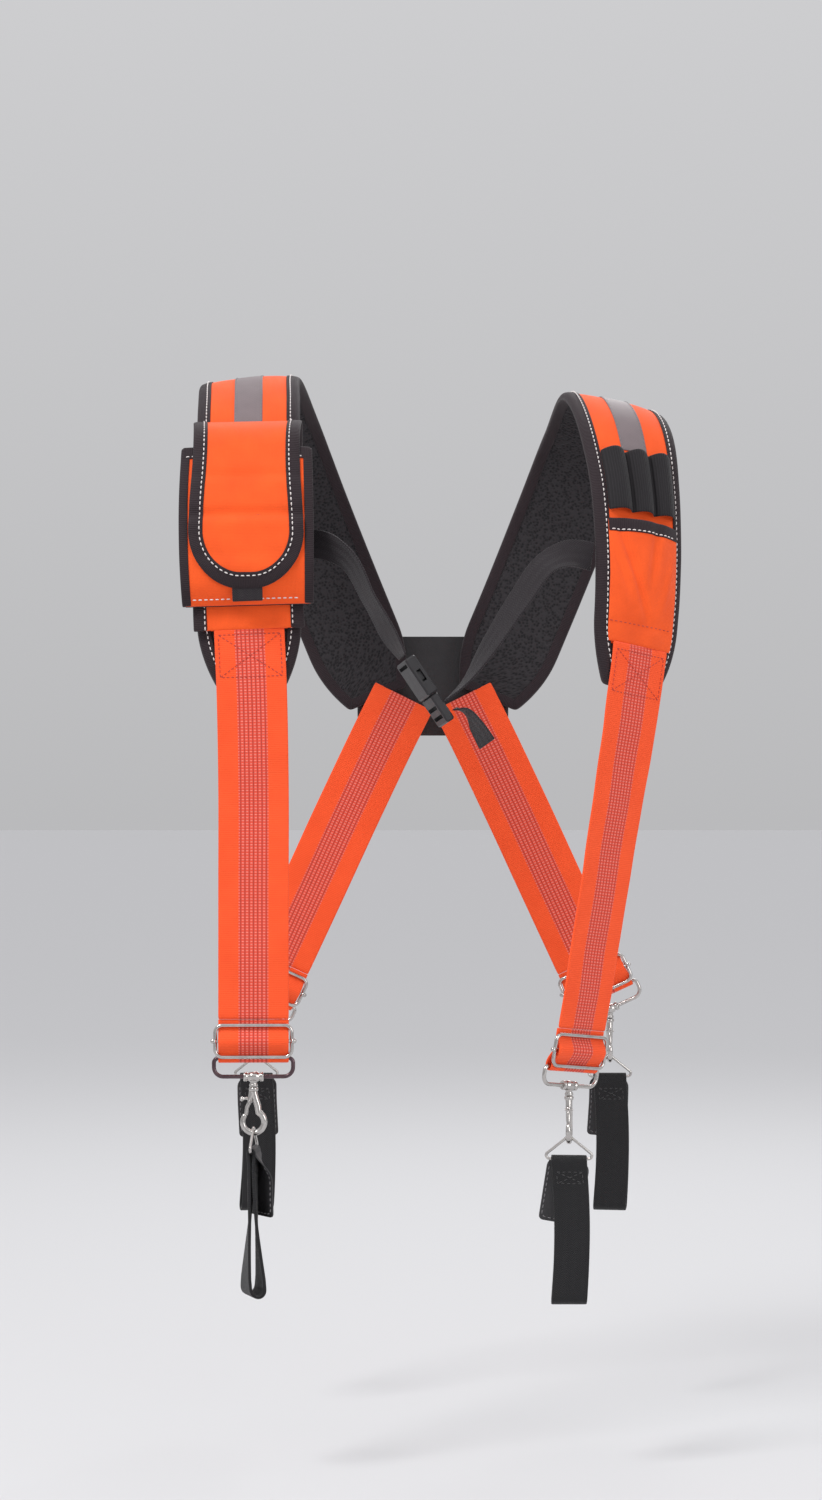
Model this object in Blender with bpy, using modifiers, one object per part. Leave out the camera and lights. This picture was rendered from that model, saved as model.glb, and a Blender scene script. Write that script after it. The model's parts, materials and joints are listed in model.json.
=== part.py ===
"""Hi-vis padded tool-belt suspenders: two padded shoulder straps joined by a back patch, a phone
pouch, a tool pocket with pen loops, a chest strap with a side-release buckle, and four hangers
(slide adjuster, wire loop, swivel hook, tab ring, belt loop) that carry a tool belt.

Metres, +Z up, -Y to the front, +X to the wearer's left. The origin is midway between the
shoulders, level with the top of the right pad."""

import math

import bmesh
import bpy
import numpy as np
from mathutils import Matrix, Vector

MM = 0.001
GAP = 0.3 * MM  # between pieces that touch on the real thing
LAYER_GAP = 0.5 * MM  # between sewn layers, whose facets differ a little where the pad twists
STOP_STEP = 16 * MM  # how often a ribbon bends along its course

# Driving dimensions: webbing and pads
STRAP_WIDTH, STRAP_THICK = 49 * MM, 1.6 * MM
PAD_WIDTH, PAD_THICK = 72 * MM, 8 * MM
PAD_END_WIDTH = 56 * MM
PAD_TAPER = 40 * MM
FACE_WIDTH, FACE_THICK, FACE_BACK_END = 54 * MM, 0.8 * MM, -15 * STOP_STEP
TAPE_WIDTH, TAPE_THICK, TAPE_BACK_END = 20 * MM, 0.4 * MM, -13 * STOP_STEP
PATCH_SIZE = (116 * MM, 76 * MM, 3 * MM)
PATCH_CENTRE = (0, 139.5 * MM, -222 * MM)

# Phone pouch on the right pad; "along" is measured from the top of the shoulder
POUCH_WIDTH, POUCH_DEPTH, POUCH_WALL = 92 * MM, 22 * MM, 1.6 * MM
POUCH_ALONG = (112 * MM, 219 * MM)
BACKING_WIDTH, BACKING_THICK = 76 * MM, 1.6 * MM
BACKING_ALONG = (80 * MM, 233 * MM)
FLAP_WIDTH, FLAP_THICK = 76 * MM, 2.4 * MM
FLAP_ALONG = (80 * MM, 201 * MM)
FLAP_CORNER = 30 * MM
FLAP_RISE = 30 * MM  # the length over which the flap climbs from the pad to the pouch's front
PULL_TAB_SIZE = (21 * MM, 13 * MM, 1.6 * MM)

# Tool pocket and pen loops on the left pad
PEN_LOOPS_ALONG = (75 * MM, 121 * MM)
PEN_LOOP_COUNT, PEN_LOOP_WIDTH, PEN_LOOP_BULGE = 3, 18 * MM, 8 * MM
POCKET_ALONG = (127 * MM, 205 * MM)
POCKET_WIDTH, POCKET_BULGE = 60 * MM, 6 * MM

# Chest strap and side-release buckle
CHEST_WIDTH, CHEST_THICK = 20 * MM, 1.4 * MM
BUCKLE_WIDTH, BUCKLE_THICK, BUCKLE_WALL = 27 * MM, 8.4 * MM, 1.6 * MM
SOCKET_LENGTH, PLUG_LENGTH, PRONG_LENGTH = 30 * MM, 22 * MM, 17 * MM
BUCKLE_TOP = Vector((-21, -131, -209)) * MM
BUCKLE_AXIS = Vector((0.556, 0, -0.831))
BUCKLE_EDGE_ON = math.radians(74)  # how far the buckle is turned about its length

# Hanger, in its own frame: X across the strap, -Y outward, Z up the strap, the wire loop's top
# bar at the origin
WIRE = 1.5 * MM  # radius of the adjuster's and the loop's wire
PLY = WIRE + GAP + STRAP_THICK / 2  # from a bar's axis to the middle of the webbing round it
ADJUSTER_SIZE = (53 * MM, 22 * MM)  # between wire centres
ADJUSTER_RISE = 12 * MM
BAR_RADIUS = 1.2 * MM
LOOP_SIZE = (55 * MM, 13 * MM)
STRAP_END_RISE = 27 * MM  # where the strap gives way to the fold through the adjuster
EYE_RADIUS, EYE_LENGTH = 3.3 * MM, 14 * MM
NECK_DROP = 7.0 * MM  # from the loop's lower bar to the underside of the swivel eye
HOOK_WIRE, BOW_RADIUS = 2.0 * MM, 7.6 * MM
HOOK_TOP, BOW_DROP = NECK_DROP + GAP, 31.5 * MM  # below the loop's lower bar
RING_WIRE, RING_WIDTH, RING_HEIGHT = 1.0 * MM, 34 * MM, 15.5 * MM
RING_CORNER = 2.5 * MM
TAB_WIDTH, TAB_LENGTH, TAB_THICK = 30 * MM, 46 * MM, 1.2 * MM
BELT_LOOP_WIDTH, BELT_LOOP_LENGTH, BELT_LOOP_THICK = 25 * MM, 101 * MM, 2.2 * MM
BELT_LOOP_GAP = 8 * MM  # clear width for the tool belt

# Ribbon courses: x, y, z in mm on the wearer's side of the ribbon, then yaw and tilt of its width
# in degrees. They run from the back patch over the shoulder to the front adjuster.
RIGHT_COURSE = (
    (-42, 126, -232, 0, 0),
    (-68, 123, -170, 0, 0),
    (-97, 104, -98, 4, -6),
    (-121, 60, -36, 4, -8),
    (-133, 0, -9, 0, -5),
    (-132.5, -45, -27, 0, -2),
    (-131.5, -78, -62, 0, 0),
    (-131, -99, -110, 0, 0),
    (-130, -111, -168, 1, 0),
    (-127.5, -114, -232, 2, 0),
    (-126.5, -112, -290, 2, 0),
    (-126.5, -111, -375, 2, 0),
    (-126.5, -111, -458, 2, 0),
)
LEFT_COURSE = (
    (42, 126, -232, 0, 0),
    (68, 123, -172, 0, 0),
    (96, 104, -102, -4, 8),
    (117, 60, -48, -2, 12),
    (128, 0, -25, 6, 13),
    (135.5, -40, -44, 15, 8),
    (140, -66, -82, 27, 4),
    (141.5, -84, -136, 33, 0),
    (138.5, -93, -190, 35, 0),
    (131, -97, -245, 38, 0),
    (121.5, -97, -303, 41, 0),
    (108.5, -96, -384, 44, 0),
    (95.4, -96, -465.6, 45, 0),
)
BACK_COURSE = (  # left lower back; the right one is its mirror
    (38, 130, -262, 0, 0),
    (62, 130, -312, -2, 0),
    (90, 127, -372, -6, 0),
    (118, 124, -432, -8, 0),
)
# Chest straps: x, y, z in mm, then how far the webbing is turned edge-on, in degrees
RIGHT_CHEST_COURSE = (
    (-93.8, -108.5, -128, 0),
    (-80, -114, -128, 12),
    (-64, -120, -136, 46),
    (-45, -126, -168, 62),
    (-31, -130, -193, 58),
    (-22.2, -131, -207.2, 74),
)
LEFT_CHEST_COURSE = (
    (110, -106, -136, 0),
    (95, -113, -134, 15),
    (79, -120, -140, 34),
    (58, -126, -167, 42),
    (36, -129, -201, 56),
    (19, -129, -226, 80),
    (5.2, -129.2, -238.6, 90),
)
TAIL_COURSE = (
    (13, -128.6, -242.4, 98),
    (19.5, -129.5, -244, 84),
    (28, -134, -254, 62),
    (36, -135, -267, 52),
)

ORANGE = (1.0, 0.118, 0.028)
BLACK = (0.012, 0.012, 0.014)


def clear_scene():
    for obj in list(bpy.data.objects):
        bpy.data.objects.remove(obj)


def new_collection(name):
    collection = bpy.data.collections.new(name)
    bpy.context.scene.collection.children.link(collection)
    return collection


def material(name, colour, roughness, metallic=0.0):
    made = bpy.data.materials.new(name)
    made.use_nodes = True
    shader = made.node_tree.nodes["Principled BSDF"]
    shader.inputs["Base Color"].default_value = (*colour, 1)
    shader.inputs["Roughness"].default_value = roughness
    shader.inputs["Metallic"].default_value = metallic
    made.diffuse_color = (*colour, 1)
    return made


def add(name, mesh, finish, frame=None):
    """A named sub-part in the product's collection, with a material of its own."""
    mesh = mesh.copy()
    mesh.materials.clear()
    mesh.materials.append(material(name, *finish))
    mesh.shade_smooth()
    mesh.set_sharp_from_angle(angle=math.radians(35))
    obj = bpy.data.objects.new(name, mesh)
    PRODUCT.objects.link(obj)
    if frame:
        obj.matrix_world = frame
    return obj


# --- courses ---------------------------------------------------------------------------------


def hermite(knots, values, at):
    """A smooth line through the values, each reached at its own knot."""
    slopes = np.gradient(values, knots, axis=0)
    low = np.clip(np.searchsorted(knots, at, side="right") - 1, 0, len(knots) - 2)
    step = (knots[low + 1] - knots[low])[:, None]
    f = (at - knots[low])[:, None] / step
    ends = (1 + 2 * f) * (1 - f) ** 2 * values[low] + f**2 * (3 - 2 * f) * values[low + 1]
    bends = f * (1 - f) ** 2 * slopes[low] - f**2 * (1 - f) * slopes[low + 1]
    return ends + step * bends


class Course:
    """A ribbon's middle line, with its width and outward directions, by distance along it."""

    SAMPLES = 800

    def __init__(self, points, widths, top=None):
        points = np.array(points, float) * MM
        knots = np.r_[0, np.cumsum(np.linalg.norm(np.diff(points, axis=0), axis=1))]
        along = np.linspace(0, knots[-1], self.SAMPLES)
        self.points = hermite(knots, points, along)
        steps = np.linalg.norm(np.diff(self.points, axis=0), axis=1)
        self.along = np.r_[0, np.cumsum(steps)]
        self.tangents = unit(np.gradient(self.points, self.along, axis=0))
        widths = hermite(knots, np.array(widths, float), along)
        lean = (widths * self.tangents).sum(axis=1, keepdims=True)
        self.widths = unit(widths - lean * self.tangents)
        self.outwards = np.cross(self.tangents, self.widths)
        if top is not None:
            self.along -= self.along[np.argmin(abs(self.points - points[top]).sum(axis=1))]

    @property
    def start(self):
        return self.along[0]

    @property
    def end(self):
        return self.along[-1]

    def at(self, along, table):
        return Vector([np.interp(along, self.along, column) for column in table.T])

    def place(self, across, along, height):
        side = self.at(along, self.widths) * float(across)
        return self.at(along, self.points) + side + self.at(along, self.outwards) * float(height)

    def frame(self, along, height):
        """X across the ribbon, -Y outward, Z back up the ribbon."""
        axes = Matrix((
            self.at(along, self.widths).normalized(),
            -self.at(along, self.outwards).normalized(),
            -self.at(along, self.tangents).normalized(),
        )).transposed()
        return Matrix.Translation(self.place(0, along, height)) @ axes.to_4x4()


def unit(rows):
    return rows / np.linalg.norm(rows, axis=1, keepdims=True)


def body_course(rows, top=None):
    widths = []
    for *_, yaw, tilt in rows:
        yaw, tilt = math.radians(yaw), math.radians(tilt)
        widths.append((math.cos(yaw), math.sin(yaw), -math.sin(tilt)))
    return Course([row[:3] for row in rows], widths, top)


def chest_course(rows):
    """The webbing's width starts square to its run in the frontal plane and turns edge-on."""
    points = np.array([row[:3] for row in rows], float)
    runs = np.gradient(points, axis=0)
    widths = []
    for run, row in zip(runs, rows):
        square = unit(np.array([[-run[2], 0, run[0]]]))[0]
        turn = math.radians(row[3])
        widths.append(math.cos(turn) * square + math.sin(turn) * np.array([0, -1, 0]))
    return Course(points, widths)


# --- shapes ----------------------------------------------------------------------------------


def mesh_of(obj):
    """The object's evaluated mesh, placed and with its seams welded; the object goes."""
    graph = bpy.context.evaluated_depsgraph_get()
    graph.update()
    mesh = bpy.data.meshes.new_from_object(obj.evaluated_get(graph))
    mesh.transform(obj.matrix_world)
    bpy.data.objects.remove(obj)
    bm = bmesh.new()
    bm.from_mesh(mesh)
    bmesh.ops.remove_doubles(bm, verts=bm.verts, dist=1e-6)
    bmesh.ops.recalc_face_normals(bm, faces=bm.faces)
    bm.to_mesh(mesh)
    bm.free()
    return mesh


def from_bmesh(bm, name="shape"):
    mesh = bpy.data.meshes.new(name)
    bm.to_mesh(mesh)
    bm.free()
    return mesh


def helper(mesh, name="helper"):
    obj = bpy.data.objects.new(name, mesh)
    obj.hide_render = True
    obj.display_type = "WIRE"
    CUTTERS.objects.link(obj)
    return obj


def combined(base, other, operation):
    """The Boolean of two meshes, as a new mesh."""
    tool = helper(other)
    body = helper(base)
    boolean = body.modifiers.new("boolean", "BOOLEAN")
    boolean.operation = operation
    boolean.solver = "EXACT"
    boolean.object = tool
    made = mesh_of(body)
    bpy.data.objects.remove(tool)
    return made


def united(first, *others):
    for other in others:
        first = combined(first, other, "UNION")
    return first


def block(size, centre=(0, 0, 0), bevel=0.0):
    bm = bmesh.new()
    bmesh.ops.create_cube(bm, size=1)
    bmesh.ops.scale(bm, vec=size, verts=bm.verts)
    bmesh.ops.translate(bm, vec=centre, verts=bm.verts)
    if bevel:
        bmesh.ops.bevel(bm, geom=bm.edges[:], offset=bevel, segments=1, affect="EDGES")
    return from_bmesh(bm)


def rod(radius, length, axis, centre=(0, 0, 0), sides=12):
    bm = bmesh.new()
    bmesh.ops.create_cone(
        bm, cap_ends=True, segments=sides, radius1=radius, radius2=radius, depth=length
    )
    turn = Vector((0, 0, 1)).rotation_difference(Vector(axis)).to_matrix().to_4x4()
    bmesh.ops.transform(bm, matrix=Matrix.Translation(centre) @ turn, verts=bm.verts)
    return from_bmesh(bm)


def wire(points, radius, closed=False, fineness=1):
    """A round wire through the points."""
    curve = bpy.data.curves.new("wire", "CURVE")
    curve.dimensions = "3D"
    curve.bevel_depth = radius
    curve.bevel_resolution = fineness
    curve.use_fill_caps = True
    spline = curve.splines.new("POLY")
    spline.points.add(len(points) - 1)
    for point, place in zip(spline.points, points):
        point.co = (*place, 1)
    spline.use_cyclic_u = closed
    return mesh_of(helper(curve))


def slab(outlines, thickness):
    """Flat outlines, the first with the others as holes, thickened evenly both ways along Z."""
    curve = bpy.data.curves.new("slab", "CURVE")
    curve.dimensions = "2D"
    curve.fill_mode = "BOTH"
    curve.extrude = thickness / 2
    for outline in outlines:
        spline = curve.splines.new("POLY")
        spline.points.add(len(outline) - 1)
        for point, (x, y) in zip(spline.points, outline):
            point.co = (x, y, 0, 1)
        spline.use_cyclic_u = True
    return mesh_of(helper(curve))


def turned(mesh, matrix):
    mesh.transform(matrix)
    return mesh


def arc(centre, radius, start, stop, steps):
    """Points along an arc, angles in degrees."""
    return [
        (centre[0] + radius * math.cos(a), centre[1] + radius * math.sin(a))
        for a in np.radians(np.linspace(start, stop, steps + 1))
    ]


def rounded_rectangle(width, height, top_radius, low_radius=None, steps=3):
    points = []
    for right, up, angle in ((1, 1, 0), (-1, 1, 90), (-1, -1, 180), (1, -1, 270)):
        radius = top_radius if up > 0 or low_radius is None else low_radius
        centre = (right * (width / 2 - radius), up * (height / 2 - radius))
        points += arc(centre, radius, angle, angle + 90, steps)
    return points


def evenly(start, stop, count):
    return [float(v) for v in np.linspace(start, stop, count + 1)]


def stops(start, stop):
    """Places along a course at which every layer bends, so that stacked layers stay apart."""
    first, last = math.ceil(start / STOP_STEP + 0.2), math.floor(stop / STOP_STEP - 0.2)
    return [start] + [n * STOP_STEP for n in range(first, last + 1)] + [stop]


def strip(course, rows, thickness, height, columns=1):
    """Fabric laid on a course: rows are (along, left edge, right edge), height is a function of
    (across, along), and the thickness goes outward from it."""
    bm = bmesh.new()
    bmesh.ops.create_grid(bm, x_segments=columns, y_segments=len(rows) - 1, size=1)
    for vert in bm.verts:
        row = rows[round((1 - vert.co.y) / 2 * (len(rows) - 1))]
        across = row[1] + (row[2] - row[1]) * (vert.co.x + 1) / 2
        vert.co = course.place(across, row[0], height(across, row[0]))
    obj = helper(from_bmesh(bm))
    solidify = obj.modifiers.new("thickness", "SOLIDIFY")
    solidify.thickness = thickness
    solidify.offset = 1
    return mesh_of(obj)


def straight_rows(start, stop, width):
    return [(along, -width / 2, width / 2) for along in stops(start, stop)]


def laid(mesh, course):
    """A flat piece (X across, Y up the ribbon, Z outward) bent onto a course."""
    for vert in mesh.vertices:
        across, up, height = vert.co
        vert.co = course.place(across, -up, height)
    return mesh


# --- shoulder pads ---------------------------------------------------------------------------

FACE_LEVEL = PAD_THICK + LAYER_GAP
TAPE_LEVEL = FACE_LEVEL + FACE_THICK + LAYER_GAP
STRAP_LEVEL = FACE_LEVEL  # underside of the front strap, which is sewn on the pad
OVER_TAPE = TAPE_LEVEL + TAPE_THICK + LAYER_GAP


def pad_width(along, start, stop):
    """Full width, rounding in to the narrower ends."""
    from_end = max(0.0, 1 - min(along - start, stop - along) / PAD_TAPER)
    return PAD_WIDTH - (PAD_WIDTH - PAD_END_WIDTH) * from_end**2


def add_shoulder(side, course, pad_end, face_end):
    start = course.start
    rows = []
    for along in stops(start, pad_end):
        half = pad_width(along, start, pad_end) / 2
        rows.append((along, -half, half))
    add(f"{side}_shoulder_pad", strip(course, rows, PAD_THICK, lambda x, s: 0, 4), (BLACK, 0.9))
    face = straight_rows(FACE_BACK_END, face_end, FACE_WIDTH)
    add(
        f"{side}_pad_face",
        strip(course, face, FACE_THICK, lambda x, s: FACE_LEVEL, 4),
        (ORANGE, 0.7),
    )


def add_tape(side, course, end):
    rows = straight_rows(TAPE_BACK_END, end, TAPE_WIDTH)
    mesh = strip(course, rows, TAPE_THICK, lambda x, s: TAPE_LEVEL, 2)
    add(f"{side}_reflective_tape", mesh, ((0.3, 0.3, 0.31), 0.35))


# --- phone pouch -----------------------------------------------------------------------------

POUCH_LEVEL = OVER_TAPE + BACKING_THICK + GAP
FLAP_FRONT = POUCH_LEVEL + POUCH_DEPTH + GAP


def flap_height(across, along):
    """The flap leaves the pad, climbs over the pouch's mouth and lies on its front."""
    climb = min(1.0, (along - FLAP_ALONG[0]) / FLAP_RISE)
    return POUCH_LEVEL + (FLAP_FRONT - POUCH_LEVEL) * math.sin(climb * math.pi / 2)


def flap_rows():
    top, bottom = FLAP_ALONG
    rows = straight_rows(top, bottom - FLAP_CORNER, FLAP_WIDTH)
    for turn in np.radians((25, 45, 60, 75, 90)):
        half = FLAP_WIDTH / 2 - FLAP_CORNER * (1 - math.cos(turn))
        rows.append((bottom - FLAP_CORNER * (1 - math.sin(turn)), -half, half))
    return rows


def pouch_shell():
    """An open-topped box, built flat and bent onto the pad."""
    top, bottom = POUCH_ALONG
    centre = (0, -(top + bottom) / 2, POUCH_LEVEL + POUCH_DEPTH / 2)
    bm = bmesh.new()
    bmesh.ops.create_cube(bm, size=1)
    bmesh.ops.scale(bm, vec=(POUCH_WIDTH, bottom - top, POUCH_DEPTH), verts=bm.verts)
    mouth = [face for face in bm.faces if face.normal.y > 0.9]
    bmesh.ops.delete(bm, geom=mouth, context="FACES_ONLY")
    bmesh.ops.translate(bm, vec=centre, verts=bm.verts)
    for along in stops(top, bottom)[1:-1]:
        bmesh.ops.bisect_plane(
            bm, geom=bm.verts[:] + bm.edges[:] + bm.faces[:],
            plane_co=(0, -along, 0), plane_no=(0, 1, 0),
        )
    obj = helper(from_bmesh(bm))
    walls = obj.modifiers.new("walls", "SOLIDIFY")
    walls.thickness = POUCH_WALL
    walls.offset = -1
    walls.use_even_offset = True
    return mesh_of(obj)


def add_pouch(course):
    backing = straight_rows(*BACKING_ALONG, BACKING_WIDTH)
    mesh = strip(course, backing, BACKING_THICK, lambda x, s: OVER_TAPE, 2)
    add("pouch_backing", mesh, (ORANGE, 0.75))
    add("pouch_shell", laid(pouch_shell(), course), (ORANGE, 0.75))
    add("pouch_flap", strip(course, flap_rows(), FLAP_THICK, flap_height, 4), (ORANGE, 0.75))
    width, length, thick = PULL_TAB_SIZE
    tab_top = FLAP_ALONG[1] - 4 * MM
    rows = straight_rows(tab_top, tab_top + length + 4 * MM, width)
    level = FLAP_FRONT + FLAP_THICK + GAP
    add("flap_pull_tab", strip(course, rows, thick, lambda x, s: level), (BLACK, 0.8))


# --- tool pocket and pen loops ---------------------------------------------------------------


def add_tool_holders(course):
    half = PEN_LOOP_COUNT * PEN_LOOP_WIDTH / 2

    def loop_height(across, along):
        return OVER_TAPE + PEN_LOOP_BULGE * abs(math.sin((across + half) / PEN_LOOP_WIDTH * math.pi))

    rows = straight_rows(*PEN_LOOPS_ALONG, 2 * half)
    mesh = strip(course, rows, 1.2 * MM, loop_height, PEN_LOOP_COUNT * 6)
    add("pen_loops", mesh, (BLACK, 0.85))

    def pocket_height(across, along):
        low = (POCKET_ALONG[1] - along) / (POCKET_ALONG[1] - POCKET_ALONG[0])
        bow = math.cos(across / POCKET_WIDTH * math.pi)
        return OVER_TAPE + POCKET_BULGE * bow * math.sin(low * math.pi / 2)

    rows = straight_rows(*POCKET_ALONG, POCKET_WIDTH)
    add("tool_pocket", strip(course, rows, 1.6 * MM, pocket_height, 6), (ORANGE, 0.75))


# --- back patch ------------------------------------------------------------------------------


def add_back_patch():
    width, height, thick = PATCH_SIZE
    mesh = slab([rounded_rectangle(width, height, 16 * MM, steps=4)], thick)
    upright = Matrix.Rotation(math.pi / 2, 4, "X")
    add("back_patch", turned(mesh, Matrix.Translation(PATCH_CENTRE) @ upright), (BLACK, 0.6))


# --- chest strap -----------------------------------------------------------------------------


def buckle_frame():
    """Z back up the socket, X across the buckle, at the top of the socket."""
    up = -BUCKLE_AXIS.normalized()
    square = Vector((up.z, 0, -up.x))
    across = math.cos(BUCKLE_EDGE_ON) * square + math.sin(BUCKLE_EDGE_ON) * Vector((0, -1, 0))
    axes = Matrix((across, up.cross(across), up)).transposed()
    return Matrix.Translation(BUCKLE_TOP) @ axes.to_4x4()


def buckle_socket():
    """A flat sleeve, open to the plug, with side windows and a slotted webbing end."""
    shell = block((BUCKLE_WIDTH, BUCKLE_THICK, SOCKET_LENGTH), (0, 0, -SOCKET_LENGTH / 2), 1.2 * MM)
    inside = (BUCKLE_WIDTH - 2 * BUCKLE_WALL, BUCKLE_THICK - 2 * BUCKLE_WALL, SOCKET_LENGTH)
    bore = block(inside, (0, 0, -SOCKET_LENGTH / 2 - 7 * MM))
    windows = block((BUCKLE_WIDTH * 2, 3.4 * MM, 9 * MM), (0, 0, -15 * MM))
    slot = block((21 * MM, BUCKLE_THICK * 2, 2.6 * MM), (0, 0, -4.2 * MM))
    for cutter in (bore, windows, slot):
        shell = combined(shell, cutter, "DIFFERENCE")
    return shell


def buckle_plug():
    """The webbing end with its two slots, and the tongue that runs into the socket."""
    base_top = -SOCKET_LENGTH - GAP
    base = block(
        (BUCKLE_WIDTH - 1 * MM, 6.4 * MM, PLUG_LENGTH), (0, 0, base_top - PLUG_LENGTH / 2), 1.2 * MM
    )
    tongue = block((6 * MM, 3 * MM, PRONG_LENGTH), (0, 0, base_top + PRONG_LENGTH / 2 - 1 * MM))
    base = united(base, tongue)
    for drop in (9 * MM, 16 * MM):
        slot = block((21 * MM, 20 * MM, 2.8 * MM), (0, 0, base_top - drop))
        base = combined(base, slot, "DIFFERENCE")
    return base


def buckle_prong(side):
    """A springy arm beside the tongue, its barb just inside the socket's window."""
    base_top = -SOCKET_LENGTH + 0.1 * MM
    arm = block((2 * MM, 3 * MM, PRONG_LENGTH), (side * 8.5 * MM, 0, base_top + PRONG_LENGTH / 2))
    barb = block((3.4 * MM, 3 * MM, 6 * MM), (side * 10 * MM, 0, -15 * MM))
    return united(arm, barb)


def add_chest_strap():
    for side, rows in (("right", RIGHT_CHEST_COURSE), ("left", LEFT_CHEST_COURSE)):
        course = chest_course(rows)
        half = CHEST_WIDTH / 2
        webbing = [(along, -half, half) for along in evenly(course.start, course.end, 22)]
        mesh = strip(course, webbing, CHEST_THICK, lambda x, s: -CHEST_THICK / 2)
        add(f"{side}_chest_webbing", mesh, (BLACK, 0.8))
    tail = chest_course(TAIL_COURSE)
    rows = [(along, -half, half) for along in evenly(tail.start, tail.end, 10)]
    add("chest_webbing_tail", strip(tail, rows, CHEST_THICK, lambda x, s: 0), (BLACK, 0.8))
    frame = buckle_frame()
    add("buckle_socket", buckle_socket(), (BLACK, 0.45), frame)
    add("buckle_plug", buckle_plug(), (BLACK, 0.45), frame)
    add("buckle_prong_a", buckle_prong(1), (BLACK, 0.45), frame)
    add("buckle_prong_b", buckle_prong(-1), (BLACK, 0.45), frame)


# --- hangers ---------------------------------------------------------------------------------


def in_plane(points, y=0.0, lift=0.0):
    """Flat (x, z) points set upright at a depth."""
    return [(x, y, z + lift) for x, z in points]


def fold_line():
    """The webbing's course through the adjuster, round the loop's bar and back, as (y, z)."""
    centre, half = ADJUSTER_RISE, ADJUSTER_SIZE[1] / 2
    bulge = ADJUSTER_BACK + BAR_RADIUS + GAP + STRAP_THICK / 2 - PLY
    points = [(-PLY, STRAP_END_RISE - GAP)]
    for turn in evenly(180, -180, 10):
        swell = (1 + math.cos(math.radians(turn))) / 2
        points.append((-PLY - bulge * swell, centre + half * turn / 180))
    points += arc((0, 0), PLY, 190, 350, 6)
    end = ADJUSTER_BACK - BAR_RADIUS - GAP - STRAP_THICK / 2
    points += [(PLY, 2 * MM), (PLY - 2.5 * MM, 7 * MM), (-end, centre), (-end, centre + 3 * MM)]
    return points


ADJUSTER_BACK = PLY + WIRE + GAP + STRAP_THICK / 2  # how far out the adjuster's plane lies


def webbing_fold():
    line = fold_line()
    bm = bmesh.new()
    bmesh.ops.create_grid(bm, x_segments=1, y_segments=len(line) - 1, size=1)
    for vert in bm.verts:
        y, z = line[round((1 - vert.co.y) / 2 * (len(line) - 1))]
        vert.co = (vert.co.x * STRAP_WIDTH / 2, y, z)
    obj = helper(from_bmesh(bm))
    solidify = obj.modifiers.new("thickness", "SOLIDIFY")
    solidify.thickness = STRAP_THICK
    solidify.offset = 0
    return mesh_of(obj)


def adjuster():
    """A rounded wire frame whose centre bar is riveted through its sides."""
    outline = rounded_rectangle(*ADJUSTER_SIZE, 5 * MM)
    frame = wire(in_plane(outline, -ADJUSTER_BACK, ADJUSTER_RISE), WIRE, closed=True)
    middle = (0, -ADJUSTER_BACK, ADJUSTER_RISE)
    bar = rod(BAR_RADIUS, ADJUSTER_SIZE[0] + 7 * MM, (1, 0, 0), middle, 8)
    return united(frame, bar)


def wire_loop():
    outline = rounded_rectangle(*LOOP_SIZE, 3.5 * MM, 6.5 * MM)
    return wire(in_plane(outline, 0, -LOOP_SIZE[1] / 2), WIRE, closed=True)


def swivel_eye(lean):
    """A sleeve on the loop's lower bar, which leans, with a plumb neck below it, bored for the
    hook's stem. Its origin is on the bar's axis."""
    along_bar = (math.cos(lean), 0, math.sin(lean))
    neck = rod(3.0 * MM, NECK_DROP - 1 * MM, (0, 0, 1), (0, 0, -NECK_DROP / 2 - 0.5 * MM))
    eye = united(rod(EYE_RADIUS, EYE_LENGTH, along_bar, sides=14), neck)
    eye = combined(eye, rod(WIRE + GAP, EYE_LENGTH * 2, along_bar, sides=14), "DIFFERENCE")
    bore = rod(1.6 * MM, 4 * MM, (0, 0, 1), (0, 0, -NECK_DROP), 10)
    return combined(eye, bore, "DIFFERENCE")


def snap_hook():
    """A stem, a collar and a shank that runs into the round bow, in the plane across the tab."""
    low = -BOW_DROP
    shank = [(0, -HOOK_TOP - 1.5 * MM), (1.2 * MM, -HOOK_TOP - 7 * MM)]
    bow = arc((0, low), BOW_RADIUS, 55, -215, 18)
    points = [(0, y, z) for y, z in shank + bow]
    hook = wire(points, HOOK_WIRE, fineness=2)
    collar = rod(3.2 * MM, 3 * MM, (0, 0, 1), (0, 0, -HOOK_TOP - 1.5 * MM))
    stem = rod(1.3 * MM, 3.4 * MM, (0, 0, 1), (0, 0, -HOOK_TOP + 0.2 * MM), 10)
    lug = rod(1.9 * MM, 6 * MM, (0, 0, 1), (0, -1.6 * MM, -HOOK_TOP - 4.5 * MM), 10)
    return united(hook, collar, stem, lug)


TRIGGER_PIVOT = (-2.2 * MM, -HOOK_TOP - 9.4 * MM)


def hook_trigger():
    """The sprung gate from the lug to the bow's tip, with its thumb lever."""
    pivot = TRIGGER_PIVOT
    tip_angle = math.radians(130)
    tip = (BOW_RADIUS * math.cos(tip_angle), -BOW_DROP + BOW_RADIUS * math.sin(tip_angle))
    gate = wire([(0, *pivot), (0, *tip)], 1.3 * MM)
    lever = wire([(0, *pivot), (0, pivot[0] - 6 * MM, pivot[1] + 1 * MM)], 1.1 * MM)
    return united(gate, lever)


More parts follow.
